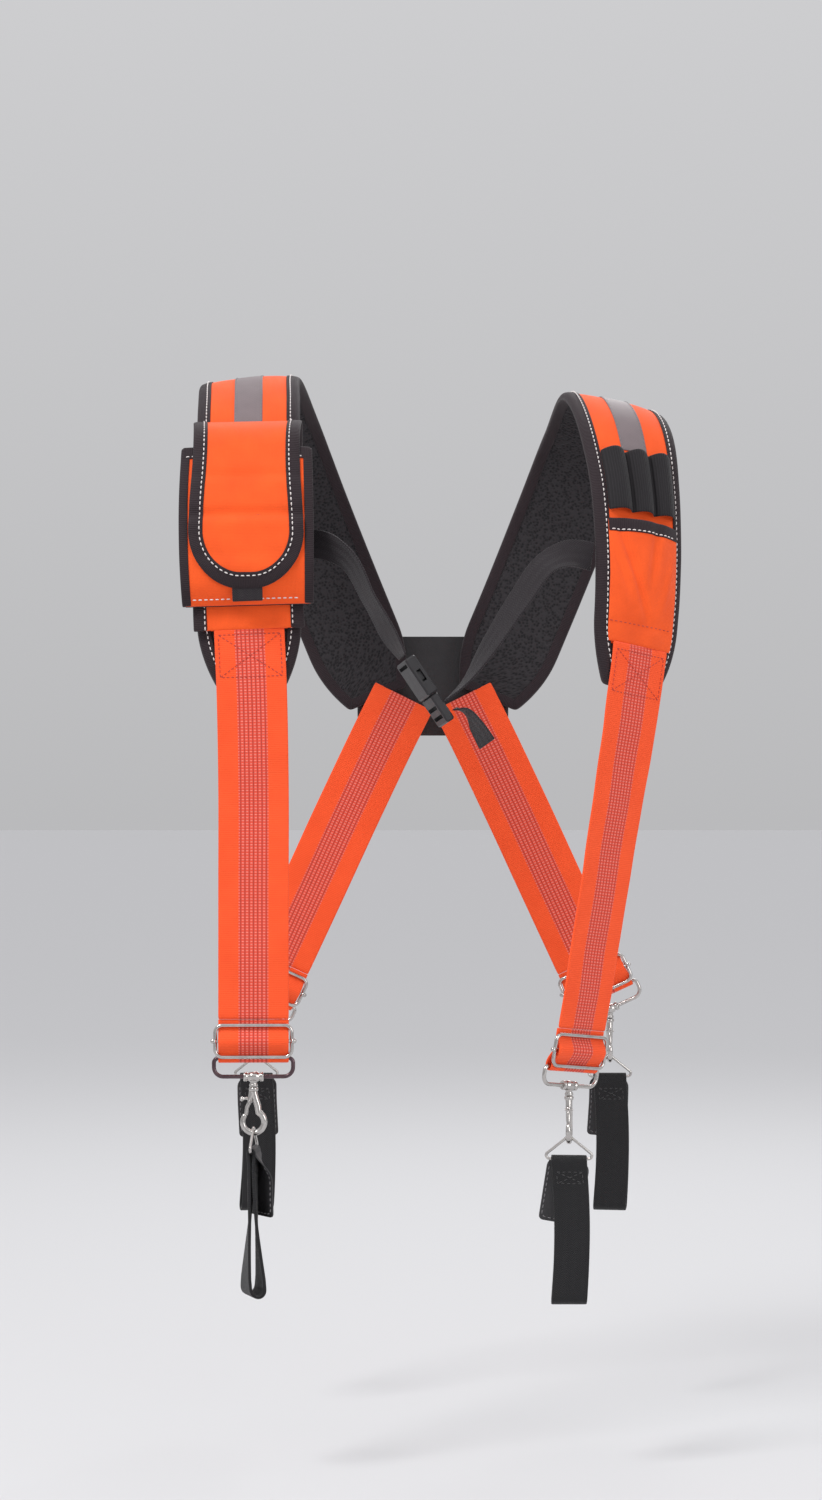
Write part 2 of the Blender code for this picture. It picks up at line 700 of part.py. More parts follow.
def tab_ring():
    """A wire triangle: a round top over the hook's bow and a straight bar through the tab."""
    radius, half = HOOK_WIRE + RING_WIRE + GAP, RING_WIDTH / 2 - RING_WIRE
    top = -BOW_DROP - BOW_RADIUS
    low = RING_BAR
    outline = arc((0, top), radius, 150, 30, 4)
    outline += arc((half - RING_CORNER, low + RING_CORNER), RING_CORNER, 30, -90, 3)
    outline += arc((-half + RING_CORNER, low + RING_CORNER), RING_CORNER, 270, 150, 3)
    return wire(in_plane(outline), RING_WIRE, closed=True)


RING_BAR = -BOW_DROP - BOW_RADIUS + HOOK_WIRE + RING_WIRE + GAP - RING_HEIGHT


def leather_tab():
    """Leather behind the belt loop, sewn to its back."""
    top, low = RING_BAR - 4 * MM, RING_BAR - TAB_LENGTH
    outline = rounded_rectangle(TAB_WIDTH, top - low, 3 * MM, steps=2)
    mesh = slab([outline], TAB_THICK)
    depth = BELT_LOOP_GAP / 2 + BELT_LOOP_THICK + GAP + TAB_THICK / 2
    upright = Matrix.Rotation(math.pi / 2, 4, "X")
    return turned(mesh, Matrix.Translation((0, depth, (top + low) / 2)) @ upright)


def belt_loop():
    """Webbing folded over the ring's bar, its two plies parted for the belt."""

    def outline(grow):
        small, large = RING_WIRE + GAP + grow, BELT_LOOP_GAP / 2 + grow
        low = RING_BAR - BELT_LOOP_LENGTH + BELT_LOOP_THICK + BELT_LOOP_GAP / 2
        right = arc((0, RING_BAR), small, 90, 0, 3)
        right += [(small, RING_BAR - 3 * MM), (large, RING_BAR - 14 * MM)]
        right += arc((0, low), large, 0, -90, 4)
        left = [(-y, z) for y, z in reversed(right[1:-1])]
        return right + left

    mesh = slab([outline(BELT_LOOP_THICK), outline(0)], BELT_LOOP_WIDTH)
    to_side = Matrix(((0, 0, 1, 0), (1, 0, 0, 0), (0, 1, 0, 0), (0, 0, 0, 1)))
    return turned(mesh, to_side)


STEEL = ((0.62, 0.61, 0.6), 0.22, 1.0)
HANGER_PIECES = (  # node, maker, finish, frame: along the strap, or hanging plumb
    ("webbing_fold", webbing_fold, (ORANGE, 0.75), "strap"),
    ("adjuster", adjuster, STEEL, "strap"),
    ("wire_loop", wire_loop, STEEL, "strap"),
    ("snap_hook", snap_hook, STEEL, "plumb"),
    ("hook_trigger", hook_trigger, STEEL, "plumb"),
    ("tab_ring", tab_ring, STEEL, "plumb"),
    ("leather_tab", leather_tab, (BLACK, 0.55), "plumb"),
    ("belt_loop", belt_loop, (BLACK, 0.85), "plumb"),
)


def hanger_frames(course, yaw, level):
    """The strap's frame at the wire loop's top bar, and the plumb frame at its lower bar."""
    end = course.end
    strap = course.frame(end, level + STRAP_THICK / 2)
    strap = strap @ Matrix.Translation((0, PLY, -STRAP_END_RISE))
    bar = strap @ Matrix.Translation((0, 0, -LOOP_SIZE[1]))
    plumb = Matrix.Translation(bar.translation) @ Matrix.Rotation(math.radians(yaw), 4, "Z")
    across = strap.col[0].xyz
    yaw = math.atan2(across.y, across.x)
    eye = Matrix.Translation(bar.translation) @ Matrix.Rotation(yaw, 4, "Z")
    return {"strap": strap, "plumb": plumb, "eye": eye, "lean": math.asin(across.z)}


def add_hanger(corner, shapes, frames):
    for (kind, _, finish, where), mesh in zip(HANGER_PIECES, shapes):
        add(f"{corner}_{kind}", mesh, finish, frames[where])
    add(f"{corner}_swivel_eye", swivel_eye(frames["lean"]), STEEL, frames["eye"])


def add_strap(corner, course, start, level):
    rows = straight_rows(start, course.end, STRAP_WIDTH)
    mesh = strip(course, rows, STRAP_THICK, lambda x, s: level)
    add(f"{corner}_strap", mesh, (ORANGE, 0.75))


# --- the whole -------------------------------------------------------------------------------


def mirrored(rows):
    return [(-x, y, z, -yaw, -tilt) for x, y, z, yaw, tilt in rows]


CREST = 4  # the station of each front course that is on top of the shoulder
RIGHT_PAD_END, LEFT_PAD_END = 270 * MM, 243 * MM
RIGHT_FACE_END, LEFT_FACE_END = 233 * MM, 206 * MM
RIGHT_TAPE_END, LEFT_TAPE_END = 13 * STOP_STEP, 12 * STOP_STEP
BACK_LEVEL = 4 * MM
HANGER_YAW = {"right_front": -96, "left_front": -6, "right_back": 0, "left_back": 0}

clear_scene()
PRODUCT = new_collection("tool_belt_suspenders")
CUTTERS = new_collection("cutters")
right = body_course(RIGHT_COURSE, CREST)
left = body_course(LEFT_COURSE, CREST)
corners = {
    "right_front": (right, RIGHT_FACE_END + 1 * MM, STRAP_LEVEL),
    "left_front": (left, LEFT_FACE_END + 1 * MM, STRAP_LEVEL),
    "right_back": (body_course(mirrored(BACK_COURSE)), 0, BACK_LEVEL),
    "left_back": (body_course(BACK_COURSE), 0, BACK_LEVEL),
}
add_shoulder("right", right, RIGHT_PAD_END, RIGHT_FACE_END)
add_shoulder("left", left, LEFT_PAD_END, LEFT_FACE_END)
add_tape("right", right, RIGHT_TAPE_END)
add_tape("left", left, LEFT_TAPE_END)
add_pouch(right)
add_tool_holders(left)
add_back_patch()
add_chest_strap()
shapes = [make() for _, make, _, _ in HANGER_PIECES]
for corner, (course, start, level) in corners.items():
    add_strap(corner, course, start, level)
    add_hanger(corner, shapes, hanger_frames(course, HANGER_YAW[corner], level))
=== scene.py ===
"""The looks of the hi-vis tool-belt suspenders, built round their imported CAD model: cloth laid on
the same courses as the CAD ribbons, folded bindings, stitches as separate threads, wire and cast
hardware. Metres, +Z up, -Y to the wearer's front, +X to the wearer's left."""

import json
import math

import bpy
import numpy as np
from mathutils import Matrix, Vector, noise


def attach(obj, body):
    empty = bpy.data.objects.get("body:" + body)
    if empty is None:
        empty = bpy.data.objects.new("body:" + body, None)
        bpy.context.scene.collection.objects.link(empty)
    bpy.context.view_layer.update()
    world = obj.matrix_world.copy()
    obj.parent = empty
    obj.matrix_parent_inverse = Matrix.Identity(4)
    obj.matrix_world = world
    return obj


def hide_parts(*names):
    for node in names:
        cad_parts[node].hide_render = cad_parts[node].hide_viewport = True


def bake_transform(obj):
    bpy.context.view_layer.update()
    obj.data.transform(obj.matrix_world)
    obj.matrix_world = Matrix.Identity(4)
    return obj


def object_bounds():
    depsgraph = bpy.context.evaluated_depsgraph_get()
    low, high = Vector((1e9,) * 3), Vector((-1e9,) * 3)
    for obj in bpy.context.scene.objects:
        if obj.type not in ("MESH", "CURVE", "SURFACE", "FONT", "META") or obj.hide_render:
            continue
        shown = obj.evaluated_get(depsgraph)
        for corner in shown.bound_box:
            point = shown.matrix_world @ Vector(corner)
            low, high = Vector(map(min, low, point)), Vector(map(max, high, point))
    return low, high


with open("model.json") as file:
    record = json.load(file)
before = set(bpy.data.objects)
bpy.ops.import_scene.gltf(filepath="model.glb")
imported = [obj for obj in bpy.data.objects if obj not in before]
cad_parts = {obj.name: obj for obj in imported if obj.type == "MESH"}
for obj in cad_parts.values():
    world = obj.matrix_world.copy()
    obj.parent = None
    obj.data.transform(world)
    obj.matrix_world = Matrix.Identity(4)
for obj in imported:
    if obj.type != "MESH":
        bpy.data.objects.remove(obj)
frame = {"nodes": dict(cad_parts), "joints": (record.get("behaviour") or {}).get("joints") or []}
cad_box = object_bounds()

MM = 0.001
JOINTS = {joint["name"]: joint for joint in frame["joints"]}
CORNERS = ("right_front", "left_front", "right_back", "left_back")

# Sizes; the CAD model holds the same parts as plain solids
STRAP_WIDTH, STRAP_THICK = 49 * MM, 1.6 * MM
PAD_WIDTH, PAD_END_WIDTH, PAD_TAPER = 72 * MM, 46 * MM, 48 * MM
PAD_CROWN, PAD_EDGE = 8.2 * MM, 4.6 * MM
FACE_WIDTH, TAPE_WIDTH = 60 * MM, 20 * MM
FACE_BACK_END, TAPE_BACK_END = -240 * MM, -208 * MM
POUCH_LEVEL, POUCH_WIDTH = 12.6 * MM, 92 * MM
POUCH_ALONG, SLEEVE_ALONG, FLAP_ALONG = (112 * MM, 214.5 * MM), (80 * MM, 230 * MM), (80 * MM, 205 * MM)
SLEEVE_WIDTH, FLAP_WIDTH, FLAP_CORNER, FLAP_RISE = 76 * MM, 76 * MM, 34.5 * MM, 34 * MM
PULL_TAB_WIDTH, PULL_TAB_END = 21 * MM, 213.5 * MM
PEN_LOOPS_ALONG, PEN_LOOP_COUNT, PEN_LOOP_WIDTH, PEN_LOOP_BULGE = (75 * MM, 121 * MM), 3, 18.4 * MM, 8 * MM
POCKET_ALONG, POCKET_SEAM, POCKET_WIDTH = (127 * MM, 213.5 * MM), 199 * MM, 58 * MM
PATCH_SIZE, PATCH_CENTRE = (116 * MM, 76 * MM, 3 * MM), Vector((0, 0.1395, -0.222))
CHEST_WIDTH, CHEST_THICK = 20 * MM, 1.4 * MM
PAD_BINDING, POUCH_BINDING, MOUTH_BINDING, FLAP_BINDING = 9 * MM, 6 * MM, 8 * MM, 9.5 * MM
PLY = 2.6 * MM
ADJUSTER_SIZE, ADJUSTER_RISE, ADJUSTER_BACK = (53 * MM, 22 * MM), 12 * MM, 5.2 * MM
ADJUSTER_WIRE, BAR_RADIUS, LOOP_WIRE = 1.35 * MM, 1.2 * MM, 1.45 * MM
LOOP_SIZE, STRAP_END_RISE = (55 * MM, 13 * MM), 27 * MM
BOW_DROP, BOW_RADIUS, NOSE_RADIUS, TRIGGER_PIVOT = 31.5 * MM, 7.6 * MM, 1.7 * MM, (-2.2 * MM, -16.7 * MM)
RING_BAR, RING_HALF, RING_WIRE = -51.3 * MM, 16 * MM, 1.0 * MM
TAB_WIDTH, TAB_LENGTH = 30 * MM, 46 * MM
BELT_LOOP_WIDTH, BELT_LOOP_LENGTH, BELT_LOOP_THICK = 25 * MM, 101 * MM, 2.2 * MM

# Ribbon courses, as in the CAD model: x, y, z in mm, then yaw and tilt of the width in degrees
RIGHT_COURSE = (
    (-42, 126, -232, 0, 0), (-68, 123, -170, 0, 0), (-97, 104, -98, 4, -6), (-121, 60, -36, 4, -8),
    (-133, 0, -9, 0, -5), (-132.5, -45, -27, 0, -2), (-131.5, -78, -62, 0, 0),
    (-131, -99, -110, 0, 0), (-130, -111, -168, 1, 0), (-127.5, -114, -232, 2, 0),
    (-126.5, -112, -290, 2, 0), (-126.5, -111, -375, 2, 0), (-126.5, -111, -458, 2, 0),
)
LEFT_COURSE = (
    (42, 126, -232, 0, 0), (68, 123, -172, 0, 0), (96, 104, -102, -4, 8), (117, 60, -48, -2, 12),
    (128, 0, -25, 6, 13), (135.5, -40, -44, 15, 8), (140, -66, -82, 27, 4), (141.5, -84, -136, 33, 0),
    (138.5, -93, -190, 35, 0), (131, -97, -245, 38, 0), (121.5, -97, -303, 41, 0),
    (108.5, -96, -384, 44, 0), (95.4, -96, -465.6, 45, 0),
)
BACK_COURSE = (
    (22, 130, -230, 0, 0), (38, 130, -262, 0, 0), (62, 130, -312, -2, 0), (90, 127, -372, -6, 0),
    (118, 124, -432, -8, 0),
)
RIGHT_CHEST_COURSE = (  # x, y, z in mm, then how far the webbing is turned edge-on, in degrees
    (-93.8, -108.5, -128, 0), (-80, -114, -128, 12), (-64, -120, -136, 46), (-45, -126, -168, 62),
    (-31, -130, -193, 58), (-22.2, -131, -207.2, 74),
)
LEFT_CHEST_COURSE = (
    (110, -106, -136, 0), (95, -113, -134, 15), (79, -120, -140, 34), (58, -126, -167, 42),
    (36, -129, -201, 56), (19, -129, -226, 80), (5.2, -129.2, -238.6, 90),
)
TAIL_COURSE = (
    (13, -128.6, -242.4, 98), (19.5, -129.5, -244, 84), (28, -134, -254, 62), (36, -135, -267, 52),
)
CREST = 4  # the station of each front course that is on top of the shoulder
RIGHT_PAD_END, LEFT_PAD_END = 270 * MM, 243 * MM
RIGHT_FACE_END, LEFT_FACE_END = 230 * MM, 215 * MM
RIGHT_TAPE_END, LEFT_TAPE_END = 84 * MM, 72 * MM


# --- courses ---------------------------------------------------------------------------------


def unit(rows):
    return rows / np.linalg.norm(rows, axis=1, keepdims=True)


def hermite(knots, values, at):
    """A smooth line through the values, each reached at its own knot."""
    slopes = np.gradient(values, knots, axis=0)
    low = np.clip(np.searchsorted(knots, at, side="right") - 1, 0, len(knots) - 2)
    step = (knots[low + 1] - knots[low])[:, None]
    f = (at - knots[low])[:, None] / step
    ends = (1 + 2 * f) * (1 - f) ** 2 * values[low] + f**2 * (3 - 2 * f) * values[low + 1]
    bends = f * (1 - f) ** 2 * slopes[low] - f**2 * (1 - f) * slopes[low + 1]
    return ends + step * bends


class Course:
    """A ribbon's middle line, with its width and outward directions, by distance along it."""

    SAMPLES = 800

    def __init__(self, points, widths, top=0):
        points = np.array(points, float) * MM
        knots = np.r_[0, np.cumsum(np.linalg.norm(np.diff(points, axis=0), axis=1))]
        along = np.linspace(0, knots[-1], self.SAMPLES)
        self.points = hermite(knots, points, along)
        steps = np.linalg.norm(np.diff(self.points, axis=0), axis=1)
        self.along = np.r_[0, np.cumsum(steps)]
        self.tangents = unit(np.gradient(self.points, self.along, axis=0))
        widths = hermite(knots, np.array(widths, float), along)
        lean = (widths * self.tangents).sum(axis=1, keepdims=True)
        self.widths = unit(widths - lean * self.tangents)
        self.outwards = np.cross(self.tangents, self.widths)
        self.along -= self.along[np.argmin(abs(self.points - points[top]).sum(axis=1))]

    @property
    def start(self):
        return float(self.along[0])

    @property
    def end(self):
        return float(self.along[-1])

    def at(self, along, table):
        return Vector([np.interp(along, self.along, column) for column in table.T])

    def outward(self, along):
        return self.at(along, self.outwards).normalized()

    def place(self, across, along, height):
        side = self.at(along, self.widths) * float(across)
        return self.at(along, self.points) + side + self.at(along, self.outwards) * float(height)


def body_course(rows, top=0):
    widths = []
    for *_, yaw, tilt in rows:
        yaw, tilt = math.radians(yaw), math.radians(tilt)
        widths.append((math.cos(yaw), math.sin(yaw), -math.sin(tilt)))
    return Course([row[:3] for row in rows], widths, top)


def chest_course(rows):
    """The webbing's width starts square to its run in the frontal plane and turns edge-on."""
    points = np.array([row[:3] for row in rows], float)
    widths = []
    for run, row in zip(np.gradient(points, axis=0), rows):
        square = unit(np.array([[-run[2], 0, run[0]]]))[0]
        turn = math.radians(row[3])
        widths.append(math.cos(turn) * square + math.sin(turn) * np.array([0, -1, 0]))
    return Course(points, widths)


class Flat:
    """Like a course, for flat work: X across, Z down from the origin, -Y or +Y outward. A twist
    turns it about the middle of its length within the first few centimetres."""

    TWIST_LENGTH = 22 * MM

    def __init__(self, matrix, facing=-1, twist=0.0):
        self.matrix, self.facing, self.twist = matrix, facing, twist

    def turned(self, along):
        share = min(1.0, max(0.0, along / self.TWIST_LENGTH))
        return Matrix.Rotation(self.twist * share**2 * (3 - 2 * share), 4, "Z")

    def outward(self, along):
        turn = (self.matrix @ self.turned(along)).to_3x3()
        return (turn @ Vector((0, self.facing, 0))).normalized()

    def place(self, across, along, height):
        return self.matrix @ self.turned(along) @ Vector((across, self.facing * height, -along))


def mirrored(rows):
    return [(-x, y, z, -yaw, -tilt) for x, y, z, yaw, tilt in rows]


right = body_course(RIGHT_COURSE, CREST)
left = body_course(LEFT_COURSE, CREST)
left_lower = body_course(BACK_COURSE)
right_lower = body_course(mirrored(BACK_COURSE))


# --- materials -------------------------------------------------------------------------------

ORANGE, ORANGE_DEEP = (1.0, 0.104, 0.015), (0.86, 0.072, 0.014)
PAINTED_GLOW = (1.0, 0.07, 0.01)  # painted glow: light the hi-vis cloth emits to stand for its fluorescence, so that it stays bright red-orange in shade
CLOTH_UV = "cloth"


class Finish:
    """A procedural material. Lengths in its patterns are millimetres on the cloth."""

    def __init__(self, name, colour, roughness, metallic=0.0, sheen=0.0, glow=0.0, gloss=0.5):
        self.material = bpy.data.materials.new(name)
        self.material.use_nodes = True
        self.material.diffuse_color = (*colour, 1)
        self.tree = self.material.node_tree
        self.shader = self.tree.nodes["Principled BSDF"]
        self.set("Base Color", (*colour, 1))
        self.set("Roughness", roughness)
        self.set("Metallic", metallic)
        self.set("Specular IOR Level", gloss)
        self.set("Sheen Weight", sheen)
        self.set("Sheen Roughness", 0.45)
        # painted glow: the material emits light of the glow colour, as strong as glow, though it is no lamp
        self.set("Emission Color", (*PAINTED_GLOW, 1))
        self.set("Emission Strength", glow)

    def set(self, socket, value):
        self.shader.inputs[socket].default_value = value

    def link(self, value, socket):
        self.tree.links.new(value, socket)

    def node(self, kind, **inputs):
        made = self.tree.nodes.new("ShaderNode" + kind)
        for name, value in inputs.items():
            self.feed(made.inputs[name.replace("_", " ")], value)
        return made

    def feed(self, socket, value):
        if isinstance(value, bpy.types.NodeSocket):
            self.link(value, socket)
        else:
            socket.default_value = value

    def math(self, operation, *terms):
        made = self.tree.nodes.new("ShaderNodeMath")
        made.operation = operation
        for socket, term in zip(made.inputs, terms):
            self.feed(socket, term)
        return made.outputs[0]

    def cloth(self):
        """(vector, across, along) of the cloth, in millimetres."""
        uv = self.node("UVMap")
        uv.uv_map = CLOTH_UV
        scaled = self.millimetres(uv.outputs[0])
        parts = self.node("SeparateXYZ", Vector=scaled)
        return scaled, parts.outputs[0], parts.outputs[1]

    def millimetres(self, where):
        scaled = self.tree.nodes.new("ShaderNodeVectorMath")
        scaled.operation = "SCALE"
        scaled.inputs["Scale"].default_value = 1 / MM
        self.link(where, scaled.inputs[0])
        return scaled.outputs[0]

    def solid(self):
        """The object's own coordinates, in millimetres."""
        return self.millimetres(self.node("TexCoord").outputs["Object"])

    def noise(self, where, size, detail=2.0):
        return self.node("TexNoise", Vector=where, Scale=1 / size, Detail=detail).outputs["Fac"]

    def cells(self, where, size):
        return self.node("TexVoronoi", Vector=where, Scale=1 / size).outputs["Distance"]

    def times(self, first, second):
        return self.math("MULTIPLY", first, second)

    def plus(self, first, share, second):
        """A share of the first value, added to the second."""
        return self.math("MULTIPLY_ADD", first, share, second)

    def blend(self, first, share, second):
        """The first value by its share, and the second by the rest of one."""
        return self.plus(first, share, self.times(second, 1 - share))

    def wave(self, where, pitch, shift=0.0):
        """A ripple from 0 to 1 along one coordinate."""
        turn = self.plus(where, 2 * math.pi / pitch, shift)
        return self.plus(self.math("SINE", turn), 0.5, 0.5)

    def between(self, value, low, high):
        return self.times(self.math("GREATER_THAN", value, low), self.math("LESS_THAN", value, high))

    def mix(self, share, first, second):
        made = self.tree.nodes.new("ShaderNodeMix")
        made.data_type = "RGBA"
        self.feed(made.inputs["Factor"], share)
        for socket, colour in ((made.inputs["A"], first), (made.inputs["B"], second)):
            self.feed(socket, (*colour, 1) if isinstance(colour, tuple) else colour)
        return made.outputs["Result"]

    def range(self, value, low, high):
        return self.node("MapRange", Value=value, To_Min=low, To_Max=high).outputs[0]

    def done(self, paint, rough, bump):
        """The material, from paint (share, first, second), rough (value, low, high) and bump (height,
        depth in mm)."""
        height, depth = bump
        relief = self.node("Bump", Height=height, Distance=depth * MM)
        inputs = self.shader.inputs
        self.link(self.mix(*paint), inputs["Base Color"])
        self.link(self.range(*rough), inputs["Roughness"])
        self.link(relief.outputs[0], inputs["Normal"])
        return self.material


def shade(colour, factor):
    return tuple(min(1.0, part * factor) for part in colour)


def woven(name, colour, pitch, sheen=0.12, glow=0.0, patches=0.16):
    """Plain-weave cloth: crossing threads, slow patches of light and dark, fine fibre noise."""
    finish = Finish(name, colour, 0.8, sheen=sheen, glow=glow, gloss=0.25)
    where, across, along = finish.cloth()
    threads = finish.times(finish.wave(across, pitch), finish.wave(along, pitch, 0.8))
    fibre = finish.noise(where, 0.7)
    tone = finish.blend(finish.noise(where, 24, 3), 0.65, fibre)
    base = finish.mix(tone, shade(colour, 1 - 2 * patches), shade(colour, 1 + patches))
    return finish.done(
        (finish.times(threads, 0.22), base, shade(colour, 1 - 3 * patches)), (fibre, 0.7, 0.9),
        (finish.plus(fibre, 0.35, threads), 0.14),
    )


def ribbed(name, colour, pitch, depth=0.2, lengthwise=False):
    """Grosgrain or elastic: ribs across the tape, or along it, with fine thread noise."""
    finish = Finish(name, colour, 0.75, sheen=0.12, gloss=0.25)
    where, across, along = finish.cloth()
    ribs = finish.wave(across if lengthwise else along, pitch)
    fibre = finish.noise(where, 0.5)
    tone = finish.blend(finish.noise(where, 18), 0.4, ribs)
    return finish.done(
        (tone, shade(colour, 0.62), shade(colour, 1.35)), (fibre, 0.67, 0.87),
        (finish.plus(fibre, 0.3, ribs), depth),
    )


def webbing(name, colour):
    """Heavy webbing: slanting floats that turn back and forth across the width."""
    finish = Finish(name, colour, 0.62, sheen=0.12, gloss=0.3)
    where, across, along = finish.cloth()
    floats = finish.wave(finish.math("ADD", along, finish.math("PINGPONG", across, 3.2)), 1.6)
    fibre = finish.noise(where, 0.5)
    tone = finish.blend(finish.noise(where, 20), 0.4, floats)
    height = finish.plus(finish.wave(across, 0.8), 0.4, floats)
    return finish.done(
        (tone, shade(colour, 0.6), shade(colour, 1.4)), (fibre, 0.5, 0.72),
        (finish.plus(fibre, 0.25, height), 0.28),
    )


BAND_HALF, BAND_PITCH, DASH_PITCH = 10.3, 2.95, 2.1  # mm, of the reflective band woven into the strap


def strap_elastic():
    """Orange ribbed elastic with lines of reflective dashes woven down its middle."""
    # painted glow: the elastic emits a little red-orange light, to stay bright in shade
    finish = Finish("strap_elastic", ORANGE, 0.72, sheen=0.12, glow=0.05, gloss=0.25)
    where, across, along = finish.cloth()
    ribs, warp = finish.wave(along, 1.3), finish.wave(across, 1.15)
    fibre = finish.noise(where, 0.6)
    tone = finish.blend(finish.noise(where, 26, 3), 0.6, ribs)
    plain = finish.mix(tone, shade(ORANGE_DEEP, 0.92), (1.0, 0.118, 0.03))
    line = finish.wave(across, BAND_PITCH, math.pi / 2)
    column = finish.math("POWER", finish.math("SUBTRACT", 1.0, line), 1.3)
    dash = finish.math("POWER", finish.wave(along, DASH_PITCH), 1.8)
    lit = finish.times(finish.times(column, dash), finish.range(fibre, 0.7, 1.3))
    band = finish.mix(lit, (0.72, 0.066, 0.035), (0.82, 0.27, 0.225))
    band = finish.mix(finish.times(finish.math("POWER", line, 7.0), 0.85), band, (0.3, 0.035, 0.03))
    inside = finish.between(across, -BAND_HALF, BAND_HALF)
    lit_inside = finish.times(inside, lit)
    height = finish.plus(lit_inside, 0.9, finish.plus(warp, 0.35, ribs))
    return finish.done(
        (inside, plain, band), (lit_inside, 0.76, 0.4), (finish.plus(fibre, 0.3, height), 0.14),
    )


def reflective():
    """Grey retroreflective tape: a satin face of fine beads with a faint diamond emboss."""
    finish = Finish("reflective_tape", (0.18, 0.145, 0.15), 0.5, gloss=0.35)
    where, across, along = finish.cloth()
    slants = [finish.wave(finish.math(way, across, along), 2.6) for way in ("ADD", "SUBTRACT")]
    emboss = finish.times(*slants)
    beads = finish.cells(where, 0.35)
    tone = finish.blend(finish.noise(where, 14, 3), 0.7, emboss)
    return finish.done(
        (tone, (0.14, 0.112, 0.118), (0.23, 0.187, 0.195)), (beads, 0.42, 0.62),
        (finish.plus(beads, 0.3, emboss), 0.06),
    )


def air_mesh():
    """Black spacer mesh: a net of small round holes, painted near-black inside as painted shade."""
    finish = Finish("air_mesh", (0.03, 0.029, 0.031), 0.85, sheen=0.06, gloss=0.2)
    where, _, _ = finish.cloth()
    rim = finish.range(finish.cells(where, 2.1), 0.0, 1.6)
    fibre = finish.noise(where, 0.6)
    # painted shade: the holes' middles near-black, their rims lighter
    return finish.done(
        (rim, (0.004, 0.004, 0.005), (0.034, 0.031, 0.034)), (fibre, 0.75, 0.95),
        (finish.plus(fibre, 0.2, rim), 0.45),
    )


def leather():
    """Smooth black hide: pebbled grain, fine pores and slow wear."""
    finish = Finish("black_leather", (0.02, 0.019, 0.021), 0.5)
    where = finish.solid()
    fine, wear = finish.noise(where, 0.35, 3), finish.noise(where, 11, 4)
    return finish.done(
        (wear, (0.012, 0.0115, 0.013), (0.036, 0.034, 0.037)),
        (finish.plus(fine, 0.4, wear), 0.34, 0.66),
        (finish.plus(fine, 0.4, finish.cells(where, 1.1)), 0.16),
    )


def moulded_plastic():
    """Acetal: satin, a faint spark-eroded grain and flow marks."""
    finish = Finish("black_plastic", (0.016, 0.0145, 0.016), 0.4, gloss=0.4)
    where = finish.solid()
    flow = finish.noise(where, 7, 3)
    return finish.done(
        (flow, (0.0105, 0.0095, 0.011), (0.023, 0.021, 0.0235)), (flow, 0.34, 0.5),
        (finish.noise(where, 0.3), 0.05),
    )


def plated_steel(name, light, dark, low, high):
    """Nickel plate over steel: slight waviness, smudges and fine pits; the dark patches are partly smudges
    and partly painted dark reflection.
    """
    finish = Finish(name, light, low, metallic=1.0)
    where = finish.solid()
    smudge_and_dark_reflection, pits = finish.noise(where, 6, 4), finish.noise(where, 0.5)
    # smudges and painted reflection: noise patches of the dark colour stand for smudges and for dark
    # reflections in the plate
    return finish.done(
        (smudge_and_dark_reflection, dark, light), (finish.plus(pits, 0.3, smudge_and_dark_reflection), low, high), (smudge_and_dark_reflection, 0.03),
    )


def thread(name, colour):
    """Twisted sewing thread."""
    finish = Finish(name, colour, 0.7, sheen=0.3)
    twist = finish.noise(finish.solid(), 0.25, 1)
    return finish.done(
        (twist, shade(colour, 0.72), shade(colour, 1.18)), (twist, 0.6, 0.85), (twist, 0.08),
    )


def fuzzy(name, colour):
    """Hook-and-loop tape: a dense nap."""
    finish = Finish(name, colour, 0.95, sheen=0.6)
    where, _, _ = finish.cloth()
    nap = finish.noise(where, 0.5, 4)
    return finish.done(
        (nap, shade(colour, 0.5), shade(colour, 1.8)), (nap, 0.85, 1.0),
        (finish.math("ADD", nap, finish.cells(where, 0.9)), 0.4),
    )


# painted glow: the hi-vis cloth emits red-orange light, to stay bright in shade
HI_VIS = woven("hi_vis_cloth", ORANGE, 0.9, glow=0.15, patches=0.24)
STRAP = strap_elastic()
TAPE = reflective()
MESH = air_mesh()
BINDING = ribbed("black_binding", (0.0235, 0.0148, 0.018), 1.2)
LINING = woven("black_lining", (0.017, 0.013, 0.015), 0.7, sheen=0.1)
ELASTIC = ribbed("black_elastic", (0.015, 0.013, 0.015), 1.5, lengthwise=True, depth=0.3)
WEBBING = webbing("black_webbing", (0.016, 0.0115, 0.0145))
LOOP_WEBBING = webbing("belt_loop_webbing", (0.0085, 0.0082, 0.0095))
LEATHER = leather()
PLASTIC = moulded_plastic()
STEEL = plated_steel("plated_steel", (0.66, 0.635, 0.61), (0.36, 0.34, 0.33), 0.07, 0.2)
# painted reflection: a darker, purple-brown copy of the plated steel, standing for the dark reflection on
# the right front wire loop
STEEL_PAINTED_DARK_REFLECTION = plated_steel("steel_painted_dark_reflection", (0.16, 0.11, 0.12), (0.07, 0.045, 0.055), 0.16, 0.34)
FASTENER = fuzzy("hook_and_loop", (0.02, 0.02, 0.022))
WHITE_THREAD = thread("white_thread", (0.78, 0.72, 0.7))
ORANGE_THREAD = thread("orange_thread", (0.46, 0.036, 0.018))
BLACK_THREAD = thread("black_thread", (0.03, 0.028, 0.03))
GREY_THREAD = thread("grey_thread", (0.2, 0.19, 0.2))


# --- mesh builders ---------------------------------------------------------------------------


def link(obj):
    bpy.context.scene.collection.objects.link(obj)
    return obj


